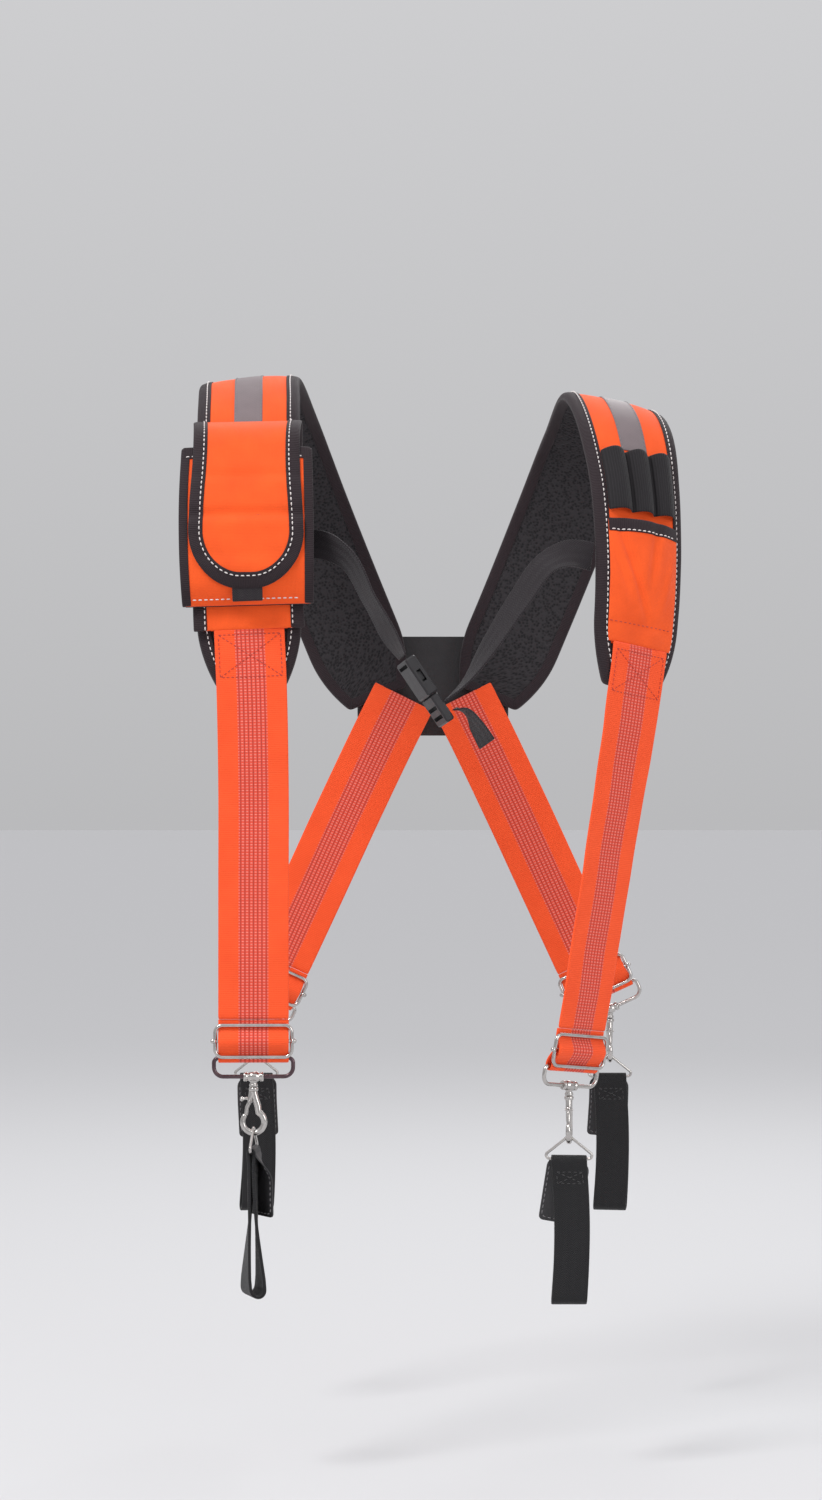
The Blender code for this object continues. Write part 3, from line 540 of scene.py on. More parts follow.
def finished(obj, body, slot, replaces=(), levels=0):
    """Shades a piece smooth and parents it to the body it rides on; one given two bodies and two points is
    only fixed where it is. It hides the CAD parts it stands for. slot is not used.
    """
    obj.data.shade_smooth()
    if levels:
        smooth = obj.modifiers.new("smooth", "SUBSURF")
        smooth.levels = smooth.render_levels = levels
    if isinstance(body, str):
        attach(obj, body)
    else:
        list(body)
        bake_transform(obj)
    if replaces:
        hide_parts(*([replaces] if isinstance(replaces, str) else replaces))


def ring_faces(a, b, sides):
    """The faces between two rings of points that start at a and b."""
    return [(a + k, a + (k + 1) % sides, b + (k + 1) % sides, b + k) for k in range(sides)]


def lofted(name, sections, us, vs, materials, under=None, ring=False):
    """A closed skin through like sections, each a closed loop of points whose second half runs back
    beside the first. us and vs are each point's place on the cloth. under is the share of the loop
    from which faces take the second material. A ring closes on itself; else ladders cap its ends."""
    rows, count = len(sections), len(sections[0])
    points = [tuple(point) for section in sections for point in section]
    us, vs = np.broadcast_to(us, (rows, count)), np.broadcast_to(vs, (rows, count))
    faces, uvs, kinds = [], [], []
    for i in range(rows if ring else rows - 1):
        j = (i + 1) % rows
        for a in range(count):
            b = (a + 1) % count
            faces.append((i * count + a, i * count + b, j * count + b, j * count + a))
            uvs += [(us[i, a], vs[i, a]), (us[i, b], vs[i, b]), (us[j, b], vs[j, b]), (us[j, a], vs[j, a])]
            kinds.append(0 if under is None or a < under * count else 1)
    if not ring:
        for i, turn in ((0, -1), (rows - 1, 1)):
            for a in range(count // 2 - 1):
                loop = (a, a + 1, count - 2 - a, count - 1 - a)[::turn]
                faces.append(tuple(i * count + c for c in loop))
                uvs += [(us[i, c], vs[i, c]) for c in loop]
                kinds.append(0)
    mesh = bpy.data.meshes.new(name)
    mesh.from_pydata(points, [], faces)
    layer = mesh.uv_layers.new(name=CLOTH_UV)
    layer.data.foreach_set("uv", np.array(uvs, np.float32).ravel())
    for material in materials:
        mesh.materials.append(material)
    mesh.polygons.foreach_set("material_index", kinds)
    flip_outward(mesh)
    return link(bpy.data.objects.new(name, mesh))


def flip_outward(mesh):
    """Turns a closed mesh's faces round if they point inward."""
    mesh.calc_loop_triangles()
    corners = np.zeros(len(mesh.vertices) * 3)
    mesh.vertices.foreach_get("co", corners)
    triangles = np.zeros(len(mesh.loop_triangles) * 3, np.int64)
    mesh.loop_triangles.foreach_get("vertices", triangles)
    corners = corners.reshape(-1, 3)[triangles.reshape(-1, 3)]
    if np.linalg.det(corners - corners.mean(axis=(0, 1))).sum() < 0:
        mesh.flip_normals()


def evenly(start, stop, step):
    count = max(2, round(abs(stop - start) / step) + 1)
    return [float(v) for v in np.linspace(start, stop, count)]


def fractions(columns, edge=0.05):
    """From -1 to 1, with a closer pair at each end that keeps the edge crisp when smoothed."""
    return [-1.0, *[float(v) for v in np.linspace(-1 + edge, 1 - edge, columns)], 1.0]


def ripple(across, along, size, amount, seed=0.0):
    return amount * noise.noise(Vector((across / size, along / size, seed)))


def cloth(name, rides, course, alongs, half, height, thickness, materials, columns=12):
    """A sheet on a course: half(along) is half its width, height(across, along) its underside.
    With two materials, the second is on its underside. rides is what finished takes after the piece."""
    sections, us = [], []
    for along in alongs:
        xs = [half(along) * f for f in fractions(columns)]
        outer = [course.place(x, along, height(x, along) + thickness) for x in xs]
        inner = [course.place(x, along, height(x, along)) for x in reversed(xs)]
        sections.append(outer + inner)
        us.append(xs + xs[::-1])
    vs = np.array(alongs)[:, None]
    made = lofted(name, sections, us, vs, materials, 0.5 if len(materials) > 1 else None)
    finished(made, *rides, levels=1)
    return made


def resampled(outline, step, closed=False):
    points = np.array(outline + outline[:1] if closed else outline, float)
    lengths = np.r_[0, np.cumsum(np.linalg.norm(np.diff(points, axis=0), axis=1))]
    at = np.linspace(0, lengths[-1], max(2, round(lengths[-1] / step) + 1))
    even = np.column_stack([np.interp(at, lengths, column) for column in points.T])
    return even[:-1] if closed else even


def inset_line(outline, inside, inset, closed=False):
    """The (across, along) outline moved in by the inset, towards the point inside."""
    if closed:
        tangents = np.roll(outline, -1, axis=0) - np.roll(outline, 1, axis=0)
    else:
        tangents = np.gradient(outline, axis=0)
    normals = unit(np.column_stack([-tangents[:, 1], tangents[:, 0]]))
    middle = len(outline) // 2
    if np.dot(normals[middle], np.array(inside) - outline[middle]) < 0:
        normals = -normals
    return outline + normals * inset


def raised(height, lift):
    """The surface that stands this far above another."""
    return lambda across, along: height(across, along) + lift


TAPE_PROFILE = (  # inset share of the width, share of the way from underside to top, mm outside it
    (1.0, 1, 0.55), (0.93, 1, 0.75), (0.5, 1, 0.8), (0.14, 1, 0.7), (0.0, 0.85, 0.35),
    (-0.08, 0.5, 0.0), (0.0, 0.15, -0.35), (0.14, 0, -0.7), (0.5, 0, -0.8), (0.9, 0, -0.6),
)


def binding(name, body, course, outline, inside, width, top, under, step=3.5, closed=False):
    """Tape folded over a cloth's edge. top and under give the cloth's two faces at (across, along)."""
    outline = resampled(outline, step * MM, closed)
    rings = []
    profile = [(share * width, side, out * MM) for share, side, out in TAPE_PROFILE]
    for share, side, out in TAPE_PROFILE[::-1]:  # the tape's inner face
        profile.append((max(0.3 * MM, share * width), side, out * MM * 0.1))
    for inset, side, out in profile:
        line = inset_line(outline, inside, inset, closed)
        kept = inset_line(outline, inside, max(inset, 0.5 * MM), closed)
        row = []
        for (x, s), (kx, ks) in zip(line, kept):
            low, high = under(kx, ks), top(kx, ks)
            row.append(course.place(x, s, low + (high - low) * side + out))
        rings.append(row)
    steps = [0.0]
    for first, second in zip(profile[:-1], profile[1:]):
        steps.append(steps[-1] + math.hypot(second[0] - first[0], second[2] - first[2]) + 0.2 * MM)
    along = np.arange(len(outline)) * step * MM
    us, vs = np.array(steps)[None, :], along[:, None]
    made = lofted(name, list(zip(*rings)), us, vs, [BINDING], ring=closed)
    finished(made, body, "black_webbing", levels=1)


def line_on(course, points, height):
    """(point, outward) pairs along a line of (across, along) points on a surface."""
    return [(course.place(x, s, height(x, s)), course.outward(s)) for x, s in points]


STITCH, STITCH_PITCH, THREAD_RADIUS = 2.5 * MM, 3.9 * MM, 0.42 * MM
THREAD_SIDES, LATHE_SIDES, WIRE_FINENESS = 6, 28, 4
NUDGE = 0.1 * MM  # to either side of a point, to find a line's direction there
STITCH_SHAPE = (  # share of the stitch's length, height and thickness in thread radii
    (0.0, -0.5, 0.5), (0.2, 0.55, 1.0), (0.5, 0.8, 1.08), (0.8, 0.55, 1.0), (1.0, -0.5, 0.5),
)


def stitching(
    name, body, slot, lines, material, length=STITCH, pitch=STITCH_PITCH, radius=THREAD_RADIUS
):
    """Separate stitches along lines of (point, outward) pairs, each arching out of the cloth."""
    points, faces, sides = [], [], THREAD_SIDES
    for line in lines:
        places = np.array([tuple(place) for place, _ in line])
        outs = np.array([tuple(out) for _, out in line])
        run = np.r_[0, np.cumsum(np.linalg.norm(np.diff(places, axis=0), axis=1))]
        for start in np.arange(0, run[-1] - length, pitch):
            first = len(points)
            for share, lift, swell in STITCH_SHAPE:
                at = start + share * length
                centre, out, ahead, behind = (
                    Vector([np.interp(spot, run, column) for column in rows.T])
                    for spot, rows in ((at, places), (at, outs), (at + NUDGE, places), (at - NUDGE, places))
                )
                out.normalize()
                side = (ahead - behind).cross(out).normalized()
                centre += out * lift * radius
                for k in range(sides):
                    angle = 2 * math.pi * k / sides
                    spoke = side * math.cos(angle) + out * math.sin(angle)
                    points.append(centre + spoke * radius * swell)
            last = len(points) - sides
            for ring in range(first, last, sides):
                faces += ring_faces(ring, ring + sides, sides)
            faces.append(tuple(first + k for k in reversed(range(sides))))
            faces.append(tuple(last + k for k in range(sides)))
    mesh = bpy.data.meshes.new(name)
    mesh.from_pydata([tuple(point) for point in points], [], faces)
    mesh.materials.append(material)
    flip_outward(mesh)
    finished(link(bpy.data.objects.new(name, mesh)), body, slot)


def box_lines(course, centre, width, length, height, crossed=True):
    """A sewn box, with its two diagonals."""
    (cx, cs), w, h = centre, width / 2, length / 2
    corners = [(cx - w, cs - h), (cx + w, cs - h), (cx + w, cs + h), (cx - w, cs + h)]
    runs = [corners + corners[:1]]
    if crossed:
        runs += [[corners[0], corners[2]], [corners[1], corners[3]]]
    return [line_on(course, resampled(run, 2 * MM), height) for run in runs]


# --- shoulder pads ---------------------------------------------------------------------------


def constant(value):
    return lambda *_: value


def pad_half(course, pad_end):
    """Half the pad's width along it, rounding in to narrower ends."""

    def half(along):
        from_end = max(0.0, 1 - min(along - course.start, pad_end - along) / PAD_TAPER)
        return (PAD_WIDTH - (PAD_WIDTH - PAD_END_WIDTH) * from_end**2) / 2

    return half


def pad_top(across, along):
    """The crowned foam's top: full down the middle, pulled down by the binding at the edges."""
    share = min(1.0, abs(across) / (PAD_WIDTH / 2))
    return PAD_CROWN - (PAD_CROWN - PAD_EDGE) * share**3 + ripple(across, along, 30 * MM, 0.5 * MM)


def pad_under(across, along):
    share = min(1.0, abs(across) / (PAD_WIDTH / 2))
    return 0.9 * MM * share**4 + ripple(across, along, 26 * MM, 0.3 * MM, 5.0)


FACE_LIFT, FACE_THICK = 0.2 * MM, 0.8 * MM


def face_top(across, along):
    return pad_top(across, along) + FACE_LIFT + FACE_THICK


BOUND_LIFT = 0.85 * MM  # from a cloth's face to the top of the binding on it


def make_shoulder(side, course, pad_end, face_end, tape_end):
    """A foam pad with its orange face, reflective tape, binding and stitches."""
    half = pad_half(course, pad_end)
    alongs = evenly(course.start + 1 * MM, pad_end - 1 * MM, 5 * MM)
    sections, us = [], []
    for along in alongs:
        xs = [half(along) * f for f in fractions(14)]
        outer = [course.place(x, along, pad_top(x, along)) for x in xs]
        sections.append(outer + [course.place(x, along, pad_under(x, along)) for x in reversed(xs)])
        us.append(xs + [3 * half(along) - x for x in reversed(xs)])
    pad = lofted(f"{side}_foam_pad", sections, us, np.array(alongs)[:, None], [MESH])
    finished(pad, "harness", "padding", f"{side}_shoulder_pad", levels=1)

    def face_half(along):
        return min(FACE_WIDTH / 2, half(along) - 6 * MM)

    face = cloth(
        f"{side}_pad_cover", ("harness", "hi_vis_fabric", f"{side}_pad_face"), course,
        evenly(FACE_BACK_END, face_end, 5 * MM), face_half, raised(pad_top, FACE_LIFT), FACE_THICK,
        [HI_VIS],
    )

    tape = cloth(
        f"{side}_reflective_band", ("harness", "reflective_tape", f"{side}_reflective_tape"), course,
        evenly(TAPE_BACK_END, tape_end, 5 * MM), constant(TAPE_WIDTH / 2), raised(face_top, 0.1 * MM),
        0.4 * MM, [TAPE], 6,
    )

    down = evenly(course.start, pad_end, 4 * MM)
    outline = [(-half(s), s) for s in down] + [(half(s), s) for s in reversed(down)]
    inside = (0, (course.start + pad_end) / 2)
    binding(
        f"{side}_pad_binding", "harness", course, outline, inside, PAD_BINDING, face_top, pad_under,
        closed=True,
    )
    line = inset_line(resampled(outline, 3 * MM, True), inside, PAD_BINDING - 2.8 * MM, True)
    line = line_on(course, np.vstack([line, line[:1]]), raised(face_top, BOUND_LIFT))
    stitching(f"{side}_pad_stitching", "harness", "padding", [line], WHITE_THREAD)
    along_tape = evenly(TAPE_BACK_END + 1 * MM, tape_end, 4 * MM)
    lines = [
        line_on(course, [(x, s) for s in along_tape], raised(face_top, 0.5 * MM))
        for x in (-TAPE_WIDTH / 2 + 1 * MM, TAPE_WIDTH / 2 - 1 * MM)
    ]
    stitching(f"{side}_band_stitching", "harness", "reflective_tape", lines, GREY_THREAD, radius=0.2 * MM)


# --- phone pouch -----------------------------------------------------------------------------

POUCH_DEPTHS = (  # mm along from the shoulder's top, mm of depth
    (112, 19.5), (135, 21.2), (175, 21.2), (194, 19.5), (205, 14.5), (212, 8), (216, 4), (219, 3.2),
)
SLEEVE_TOP, SLEEVE_DEPTH = 12.3 * MM, 3 * MM
POUCH_MIDDLE = (0, 160 * MM)
POUCH_CLOTH, FASTENER_THICK = 1.2 * MM, 0.7 * MM


def pouch_depth(along):
    table = np.array(POUCH_DEPTHS, float) * MM
    at = np.clip(along, table[0, 0], table[-1, 0])
    return float(hermite(table[:, 0], table[:, 1:], np.array([at]))[0, 0])


def pouch_front(across, along):
    """The front panel's outside, crowned between the two side seams."""
    crown = 1 - 0.13 * min(1.0, abs(across) / (POUCH_WIDTH / 2)) ** 2.5
    return POUCH_LEVEL + pouch_depth(along) * crown + ripple(across, along, 22 * MM, 0.7 * MM, 2.0)


def pouch_half(along):
    """A little fuller at the middle, drawn in at the mouth."""
    top, bottom = POUCH_ALONG
    share = (along - top) / (bottom - top)
    return POUCH_WIDTH / 2 - 1.6 * MM + 1.2 * MM * math.sin(share * math.pi)


def flap_half(along):
    """Sides a little waisted, then a half-round end."""
    bottom = FLAP_ALONG[1]
    over = max(0.0, (along - bottom + FLAP_CORNER) / FLAP_CORNER)
    corner = FLAP_CORNER * (1 - math.sqrt(max(0.0, 1 - over**2)))
    waist = 1.4 * MM * math.sin((along - FLAP_ALONG[0]) / (bottom - FLAP_ALONG[0]) * 2 * math.pi)
    return FLAP_WIDTH / 2 - corner - waist * (1 - min(1.0, over))


FLAP_CREASES = ((132, 1.2, 3), (158, 2.9, 2.6), (165, -1.0, 5), (184, 1.0, 3.5))  # mm: along, depth, size


def flap_under(across, along):
    """The flap climbs from the sleeve over the pouch's mouth and lies on its front."""
    climb = math.sin(min(1.0, (along - FLAP_ALONG[0]) / FLAP_RISE) * math.pi / 2)
    rest = pouch_front(across, max(along, POUCH_ALONG[0])) + 1.5 * MM
    creases = 0.0
    for crease, depth, size in FLAP_CREASES:
        creases -= depth * MM * math.exp(-(((along / MM - crease) / size) ** 2))
    lift = ripple(across, along, 34 * MM, 1.6 * MM, 7.0) + ripple(across, along, 13 * MM, 0.5 * MM, 8.0)
    return SLEEVE_TOP + (rest - SLEEVE_TOP) * climb + (creases + lift) * climb


FLAP_THICK = 1.6 * MM


def flap_top(across, along):
    return flap_under(across, along) + FLAP_THICK


def make_pouch():
    """The sleeve on the pad and the pouch on the sleeve, without its flap."""
    sleeve_half = SLEEVE_WIDTH / 2 - 4 * MM

    def sleeve_under(across, along):
        return SLEEVE_TOP - 1.3 * MM + ripple(across, along, 25 * MM, 0.4 * MM, 3.0)

    sleeve = cloth(
        "pouch_sleeve", ("harness", "hi_vis_fabric", "pouch_backing"), right,
        evenly(*SLEEVE_ALONG, 5 * MM), constant(sleeve_half), sleeve_under, POUCH_CLOTH, [HI_VIS],
    )
    lines = []
    for turn, side in ((-1, "right"), (1, "left")):
        edge = [(turn * SLEEVE_WIDTH / 2, s) for s in evenly(*SLEEVE_ALONG, 4 * MM)]
        binding(
            f"pouch_sleeve_binding_{side}", "harness", right, edge, POUCH_MIDDLE, PAD_BINDING,
            constant(SLEEVE_TOP), constant(SLEEVE_TOP - SLEEVE_DEPTH),
        )
        line = inset_line(resampled(edge, 3 * MM), POUCH_MIDDLE, PAD_BINDING - 1.4 * MM)
        lines.append(line_on(right, line, constant(SLEEVE_TOP + 0.8 * MM)))
    make_pouch_walls()
    top, bottom = POUCH_ALONG
    hem = [(x, bottom - 3.6 * MM) for x in evenly(-38 * MM, 38 * MM, 3 * MM)]
    mouth = [(x, top + 6.2 * MM) for x in evenly(-42 * MM, 42 * MM, 3 * MM)]
    lines.append(line_on(right, hem, raised(pouch_front, 0.25 * MM)))
    lines.append(line_on(right, mouth, raised(pouch_front, BOUND_LIFT)))
    stitching("pouch_stitching", "harness", "black_webbing", lines, WHITE_THREAD)
    cloth(
        "pouch_fastener", ("harness", "black_webbing"), right, evenly(158 * MM, 188 * MM, 4 * MM),
        constant(11 * MM), raised(pouch_front, 0.1 * MM), FASTENER_THICK, [FASTENER], 5,
    )


def gusset_path(along):
    """(across, height) points round one cross-section, from the left seam by the back to the right."""
    half, depth = pouch_half(along) - 0.6 * MM, pouch_depth(along)
    tuck = 2.2 * MM * min(1.0, depth / (15 * MM))
    high, low = pouch_front(half, along) - 0.9 * MM, POUCH_LEVEL + 0.9 * MM
    middle = (POUCH_LEVEL + high) / 2
    path = [(half, high), (half - 0.3 * tuck, (high + middle) / 2), (half - tuck, middle)]
    path += [(half - 0.3 * tuck, (POUCH_LEVEL + middle) / 2), (half, low)]
    path += [(half * f, low) for f in (0.9, 0.5)]
    path += [(0, low)] + [(-x, h) for x, h in reversed(path)]
    return path, middle


def make_pouch_walls():
    """The orange front, the black side gussets with the back, and the bound seams."""
    top, bottom = POUCH_ALONG
    alongs = evenly(top, bottom, 3.5 * MM)
    cloth(
        "pouch_front", ("harness", "hi_vis_fabric", "pouch_shell"), right, alongs, pouch_half,
        raised(pouch_front, -POUCH_CLOTH), POUCH_CLOTH, [HI_VIS, LINING], 14,
    )
    sections, us = [], []
    floor = POUCH_LEVEL + 1.9 * MM
    for along in alongs:
        path, middle = gusset_path(along)
        inner = [(x * 0.975, max(h, floor) - 0.4 * MM * (h > middle)) for x, h in path]
        sections.append([right.place(x, along, h) for x, h in path + inner[::-1]])
        lengths = np.r_[0, np.cumsum([math.dist(a, b) for a, b in zip(path[:-1], path[1:])])]
        us.append([*lengths, *lengths[::-1]])
    gusset = lofted("pouch_gusset", sections, us, np.array(alongs)[:, None], [LINING])
    finished(gusset, "harness", "black_webbing", levels=1)
    for turn, side in ((-1, "right"), (1, "left")):
        edge = [(turn * (pouch_half(s) + 0.8 * MM), s) for s in evenly(top, bottom, 4 * MM)]
        binding(
            f"pouch_seam_binding_{side}", "harness", right, edge, POUCH_MIDDLE, POUCH_BINDING, pouch_front,
            raised(pouch_front, -1.6 * MM),
        )
    edge = [(x, top - 0.6 * MM) for x in evenly(-pouch_half(top), pouch_half(top), 4 * MM)]
    binding(
        "pouch_mouth_binding", "harness", right, edge, POUCH_MIDDLE, MOUTH_BINDING,
        raised(pouch_front, 0.1 * MM), raised(pouch_front, -1.4 * MM),
    )


def flap_outline():
    top, bottom = FLAP_ALONG
    side = [(flap_half(s), s) for s in evenly(top + 1 * MM, bottom - FLAP_CORNER, 4 * MM)]
    for turn in np.radians(range(6, 91, 6)):
        s = bottom - FLAP_CORNER * (1 - math.sin(turn))
        side.append((flap_half(s), s))
    return side + [(-x, s) for x, s in reversed(side[:-1])]


def make_flap():
    """The flap with its bound edge, pull tab and fastener, all riding on the hinge."""
    top, bottom = FLAP_ALONG
    straight = evenly(top, bottom - FLAP_CORNER, 2.4 * MM)
    rounded = [bottom - FLAP_CORNER * (1 - math.sin(a)) for a in np.radians(range(8, 90, 6))]
    flap = cloth(
        "flap_cover", ("pouch_flap", "hi_vis_fabric", "pouch_flap"), right,
        straight + rounded + [bottom - 0.3 * MM],
        lambda s: flap_half(s) - 0.8 * MM if s < bottom - 1 * MM else 5 * MM, flap_under, FLAP_THICK,
        [HI_VIS, LINING], 14,
    )
    outline = flap_outline()
    binding(
        "flap_binding", "pouch_flap", right, outline, POUCH_MIDDLE, FLAP_BINDING, flap_top, flap_under, 3
    )
    line = inset_line(resampled(outline, 2.5 * MM), POUCH_MIDDLE, FLAP_BINDING - 2.4 * MM)
    line = line_on(right, line, raised(flap_top, BOUND_LIFT))
    stitching("flap_stitching", "pouch_flap", "black_webbing", [line], WHITE_THREAD)
    start, slope = bottom - 5 * MM, 1 / 18
    cloth(
        "flap_pull", ("pouch_flap", "black_webbing", "flap_pull_tab"), right,
        evenly(start, PULL_TAB_END, 2.5 * MM), constant(PULL_TAB_WIDTH / 2),
        lambda x, s: flap_under(x, min(s, bottom)) - (s - start) * slope, 1.5 * MM, [WEBBING], 8,
    )
    cloth(
        "flap_fastener", ("pouch_flap", "black_webbing"), right, evenly(160 * MM, 186 * MM, 4 * MM),
        constant(10 * MM), raised(flap_under, -0.6 * MM), FASTENER_THICK, [FASTENER], 5,
    )


# --- tool pocket and pen loops ---------------------------------------------------------------

POCKET_CREASES = (  # mm: (across, along) of both ends, size, depth
    ((-21, 134), (2, 192), 2.3, 4.4), ((9, 128), (3, 172), 3.0, 2.8),
    ((-26, 150), (-13, 180), 2.2, 2.0), ((25, 148), (14, 188), 3.2, -1.5),
)


def pocket_under(across, along):
    """Slack at the top, flat at the sewn bottom, with slanting creases and one along its seam."""
    top, bottom = POCKET_ALONG
    low = (bottom - along) / (bottom - top)
    bow = math.cos(across / POCKET_WIDTH * math.pi)
    bulge = 0.3 * MM + 5.8 * MM * bow * math.sin(low * math.pi / 2)
    for start, stop, size, depth in POCKET_CREASES:
        share = (along / MM - start[1]) / (stop[1] - start[1])
        if -0.2 < share < 1.2:
            offset = across / MM - start[0] - (stop[0] - start[0]) * share
            fade = math.sin(min(1, max(0, (share + 0.2) / 1.4)) * math.pi)
            bulge -= depth * MM * fade * math.exp(-((offset / size) ** 2))
    bulge -= 1.6 * MM * math.exp(-(((along - POCKET_SEAM) / (2.2 * MM)) ** 2))
    return face_top(across, along) + max(0.4 * MM, bulge + ripple(across, along, 16 * MM, 0.9 * MM, 9.0))


POCKET_CLOTH = 1.3 * MM


def make_tool_holders():
    """The elastic pen loops, and the tool pocket below them."""
    start, stop = PEN_LOOPS_ALONG
    half = PEN_LOOP_COUNT * PEN_LOOP_WIDTH / 2

    def loop_under(across, along):
        share = abs(math.sin((across + half) / PEN_LOOP_WIDTH * math.pi))
        slump = 1 - 0.12 * ((along - start) / (stop - start))
        return face_top(across, along) + 0.5 * MM + PEN_LOOP_BULGE * slump * share**0.8

    loops = cloth(
        "pen_loop_elastic", ("harness", "black_elastic", "pen_loops"), left,
        evenly(start, stop, 4 * MM), constant(half), loop_under, 1.4 * MM, [ELASTIC],
        PEN_LOOP_COUNT * 14 - 1,
    )
    rows = [
        [(-half + n * PEN_LOOP_WIDTH, s) for s in evenly(start + 2 * MM, stop - 1 * MM, 3 * MM)]
        for n in range(1, PEN_LOOP_COUNT)
    ]
    lines = [line_on(left, row, raised(loop_under, 1.5 * MM)) for row in rows]
    stitching("pen_loop_stitching", "harness", "black_elastic", lines, BLACK_THREAD, radius=0.3 * MM)

    top, bottom = POCKET_ALONG
    pad_edge, edge = pad_half(left, LEFT_PAD_END), POCKET_WIDTH / 2
    pocket = cloth(
        "tool_pocket_cloth", ("harness", "hi_vis_fabric", "tool_pocket"), left,
        evenly(top, bottom, 3 * MM), lambda s: min(edge, pad_edge(s) - 6.4 * MM), pocket_under,
        POCKET_CLOTH, [HI_VIS, LINING], 22,
    )
    outside = raised(pocket_under, POCKET_CLOTH)
    mouth = [(x, top) for x in evenly(-edge, edge, 3 * MM)]
    binding(
        "tool_pocket_binding", "harness", left, mouth, (0, bottom), PAD_BINDING, outside, pocket_under, 3
    )
    line = [(x, top + 7.8 * MM) for x in evenly(-edge + 2 * MM, edge - 2 * MM, 3 * MM)]
    line = line_on(left, line, raised(outside, 0.8 * MM))
    stitching("tool_pocket_stitching", "harness", "black_webbing", [line], WHITE_THREAD)
    hem = [(x, POCKET_SEAM) for x in evenly(-edge + 1 * MM, edge - 1 * MM, 3 * MM)]
    hem = line_on(left, hem, raised(outside, 0.15 * MM))
    stitching(
        "tool_pocket_hem_stitching", "harness", "hi_vis_fabric", [hem], ORANGE_THREAD, radius=0.3 * MM
    )


# --- back patch ------------------------------------------------------------------------------


def make_back_patch():
    """A leather patch with rounded ends where the pads and the back straps meet."""
    width, height, thick = PATCH_SIZE
    centre = Matrix.Translation(PATCH_CENTRE - Vector((0, thick / 2, -height / 2)))
    flat = Flat(centre, facing=1)
    corner = 16 * MM

    def half(along):
        near = min(along, height - along)
        inset = corner - math.sqrt(max(0.0, corner**2 - max(0.0, corner - near) ** 2))
        return width / 2 - inset

    bends = [corner * (1 - math.cos(a)) for a in np.radians(range(0, 91, 9))]
    alongs = bends + evenly(corner, height - corner, 5 * MM)[1:-1] + [height - b for b in reversed(bends)]
    patch = cloth(
        "back_patch_leather", ("harness", "black_leather", "back_patch"), flat, alongs, half,
        constant(0.0), thick, [LEATHER], 16,
    )
    outline = [(half(s), s) for s in alongs] + [(-half(s), s) for s in reversed(alongs)]
    face = constant(thick + 0.1 * MM)
    lines = []
    for inset in (3.5 * MM, 6.5 * MM):
        line = inset_line(resampled(outline, 2.5 * MM, True), (0, height / 2), inset, True)
        lines.append(line_on(flat, np.vstack([line, line[:1]]), face))
    for x in (-34 * MM, 34 * MM):
        lines += box_lines(flat, (x, height - 24 * MM), 30 * MM, 26 * MM, face)
        lines += box_lines(flat, (x, 22 * MM), 30 * MM, 20 * MM, face, False)
    stitching("back_patch_stitching", "harness", "black_leather", lines, GREY_THREAD, radius=0.34 * MM)


# --- chest strap -----------------------------------------------------------------------------

LEFT_CHEST_STRETCH = (0.100, -0.11, -0.134), (0.006, -0.129, -0.238)  # from where, to where
BUCKLE_EDGE = 1.1 * MM


def make_chest_strap():
    """The three webbings, and the look of the buckle, which is the CAD model's own."""

    def under(across, along):
        return -CHEST_THICK / 2 + ripple(across, along, 30 * MM, 0.3 * MM, 4.0)

    stretching = ("harness", "buckle_plug", *LEFT_CHEST_STRETCH)
    for piece_name, node, rows, body in (
        ("right_chest_strap", "right_chest_webbing", RIGHT_CHEST_COURSE, "harness"),
        ("left_chest_strap", "left_chest_webbing", LEFT_CHEST_COURSE, stretching),
        ("chest_strap_tail", "chest_webbing_tail", TAIL_COURSE, "buckle_plug"),
    ):
        course = chest_course(rows)
        piece = cloth(
            piece_name, (body, "black_webbing", node), course,
            evenly(course.start, course.end, 2.5 * MM), constant(CHEST_WIDTH / 2), under,
            CHEST_THICK, [WEBBING], 8,
        )
    for node in ("buckle_socket", "buckle_plug", "buckle_prong_a", "buckle_prong_b"):
        obj = frame["nodes"][node]
        obj.data.materials.clear()
        obj.data.materials.append(PLASTIC)
        soft = obj.modifiers.new("moulded_edges", "BEVEL")
        soft.width, soft.segments, soft.limit_method = BUCKLE_EDGE, 3, "ANGLE"


# --- straps ----------------------------------------------------------------------------------

STRETCH_AFTER, STRETCH_BEFORE = 45 * MM, 6 * MM  # how far in from its two ends lie the two points passed on with the strap's bodies; nothing makes the strap stretch
BOX_MIDDLE, BOX_SIZE = 19.5 * MM, (43 * MM, 29 * MM)  # the stitched box under the strap's top end


def make_strap(corner, course, start, level):
    """The elastic from the pad to the adjuster; in front its end is sewn down with a box."""

    def height(across, along):
        return level + ripple(across, along, 34 * MM, 0.9 * MM, 6.0)

    first = course.place(0, start + STRETCH_AFTER, level)
    last = course.place(0, course.end - STRETCH_BEFORE, level)
    rides = ("harness", f"{corner}_adjuster", first, last)
    strap = cloth(
        f"{corner}_elastic_strap", (rides, "hi_vis_elastic", f"{corner}_strap"), course,
        evenly(start, course.end, 4 * MM), constant(STRAP_WIDTH / 2), height, STRAP_THICK, [STRAP], 12,
    )
    if corner.endswith("front"):
        box = box_lines(course, (0, start + BOX_MIDDLE), *BOX_SIZE, raised(height, STRAP_THICK))
        stitching(
            f"{corner}_strap_stitching", "harness", "hi_vis_elastic", box, ORANGE_THREAD, 2.2 * MM,
            3.1 * MM, 0.27 * MM,
        )


# --- wire and turned pieces ------------------------------------------------------------------


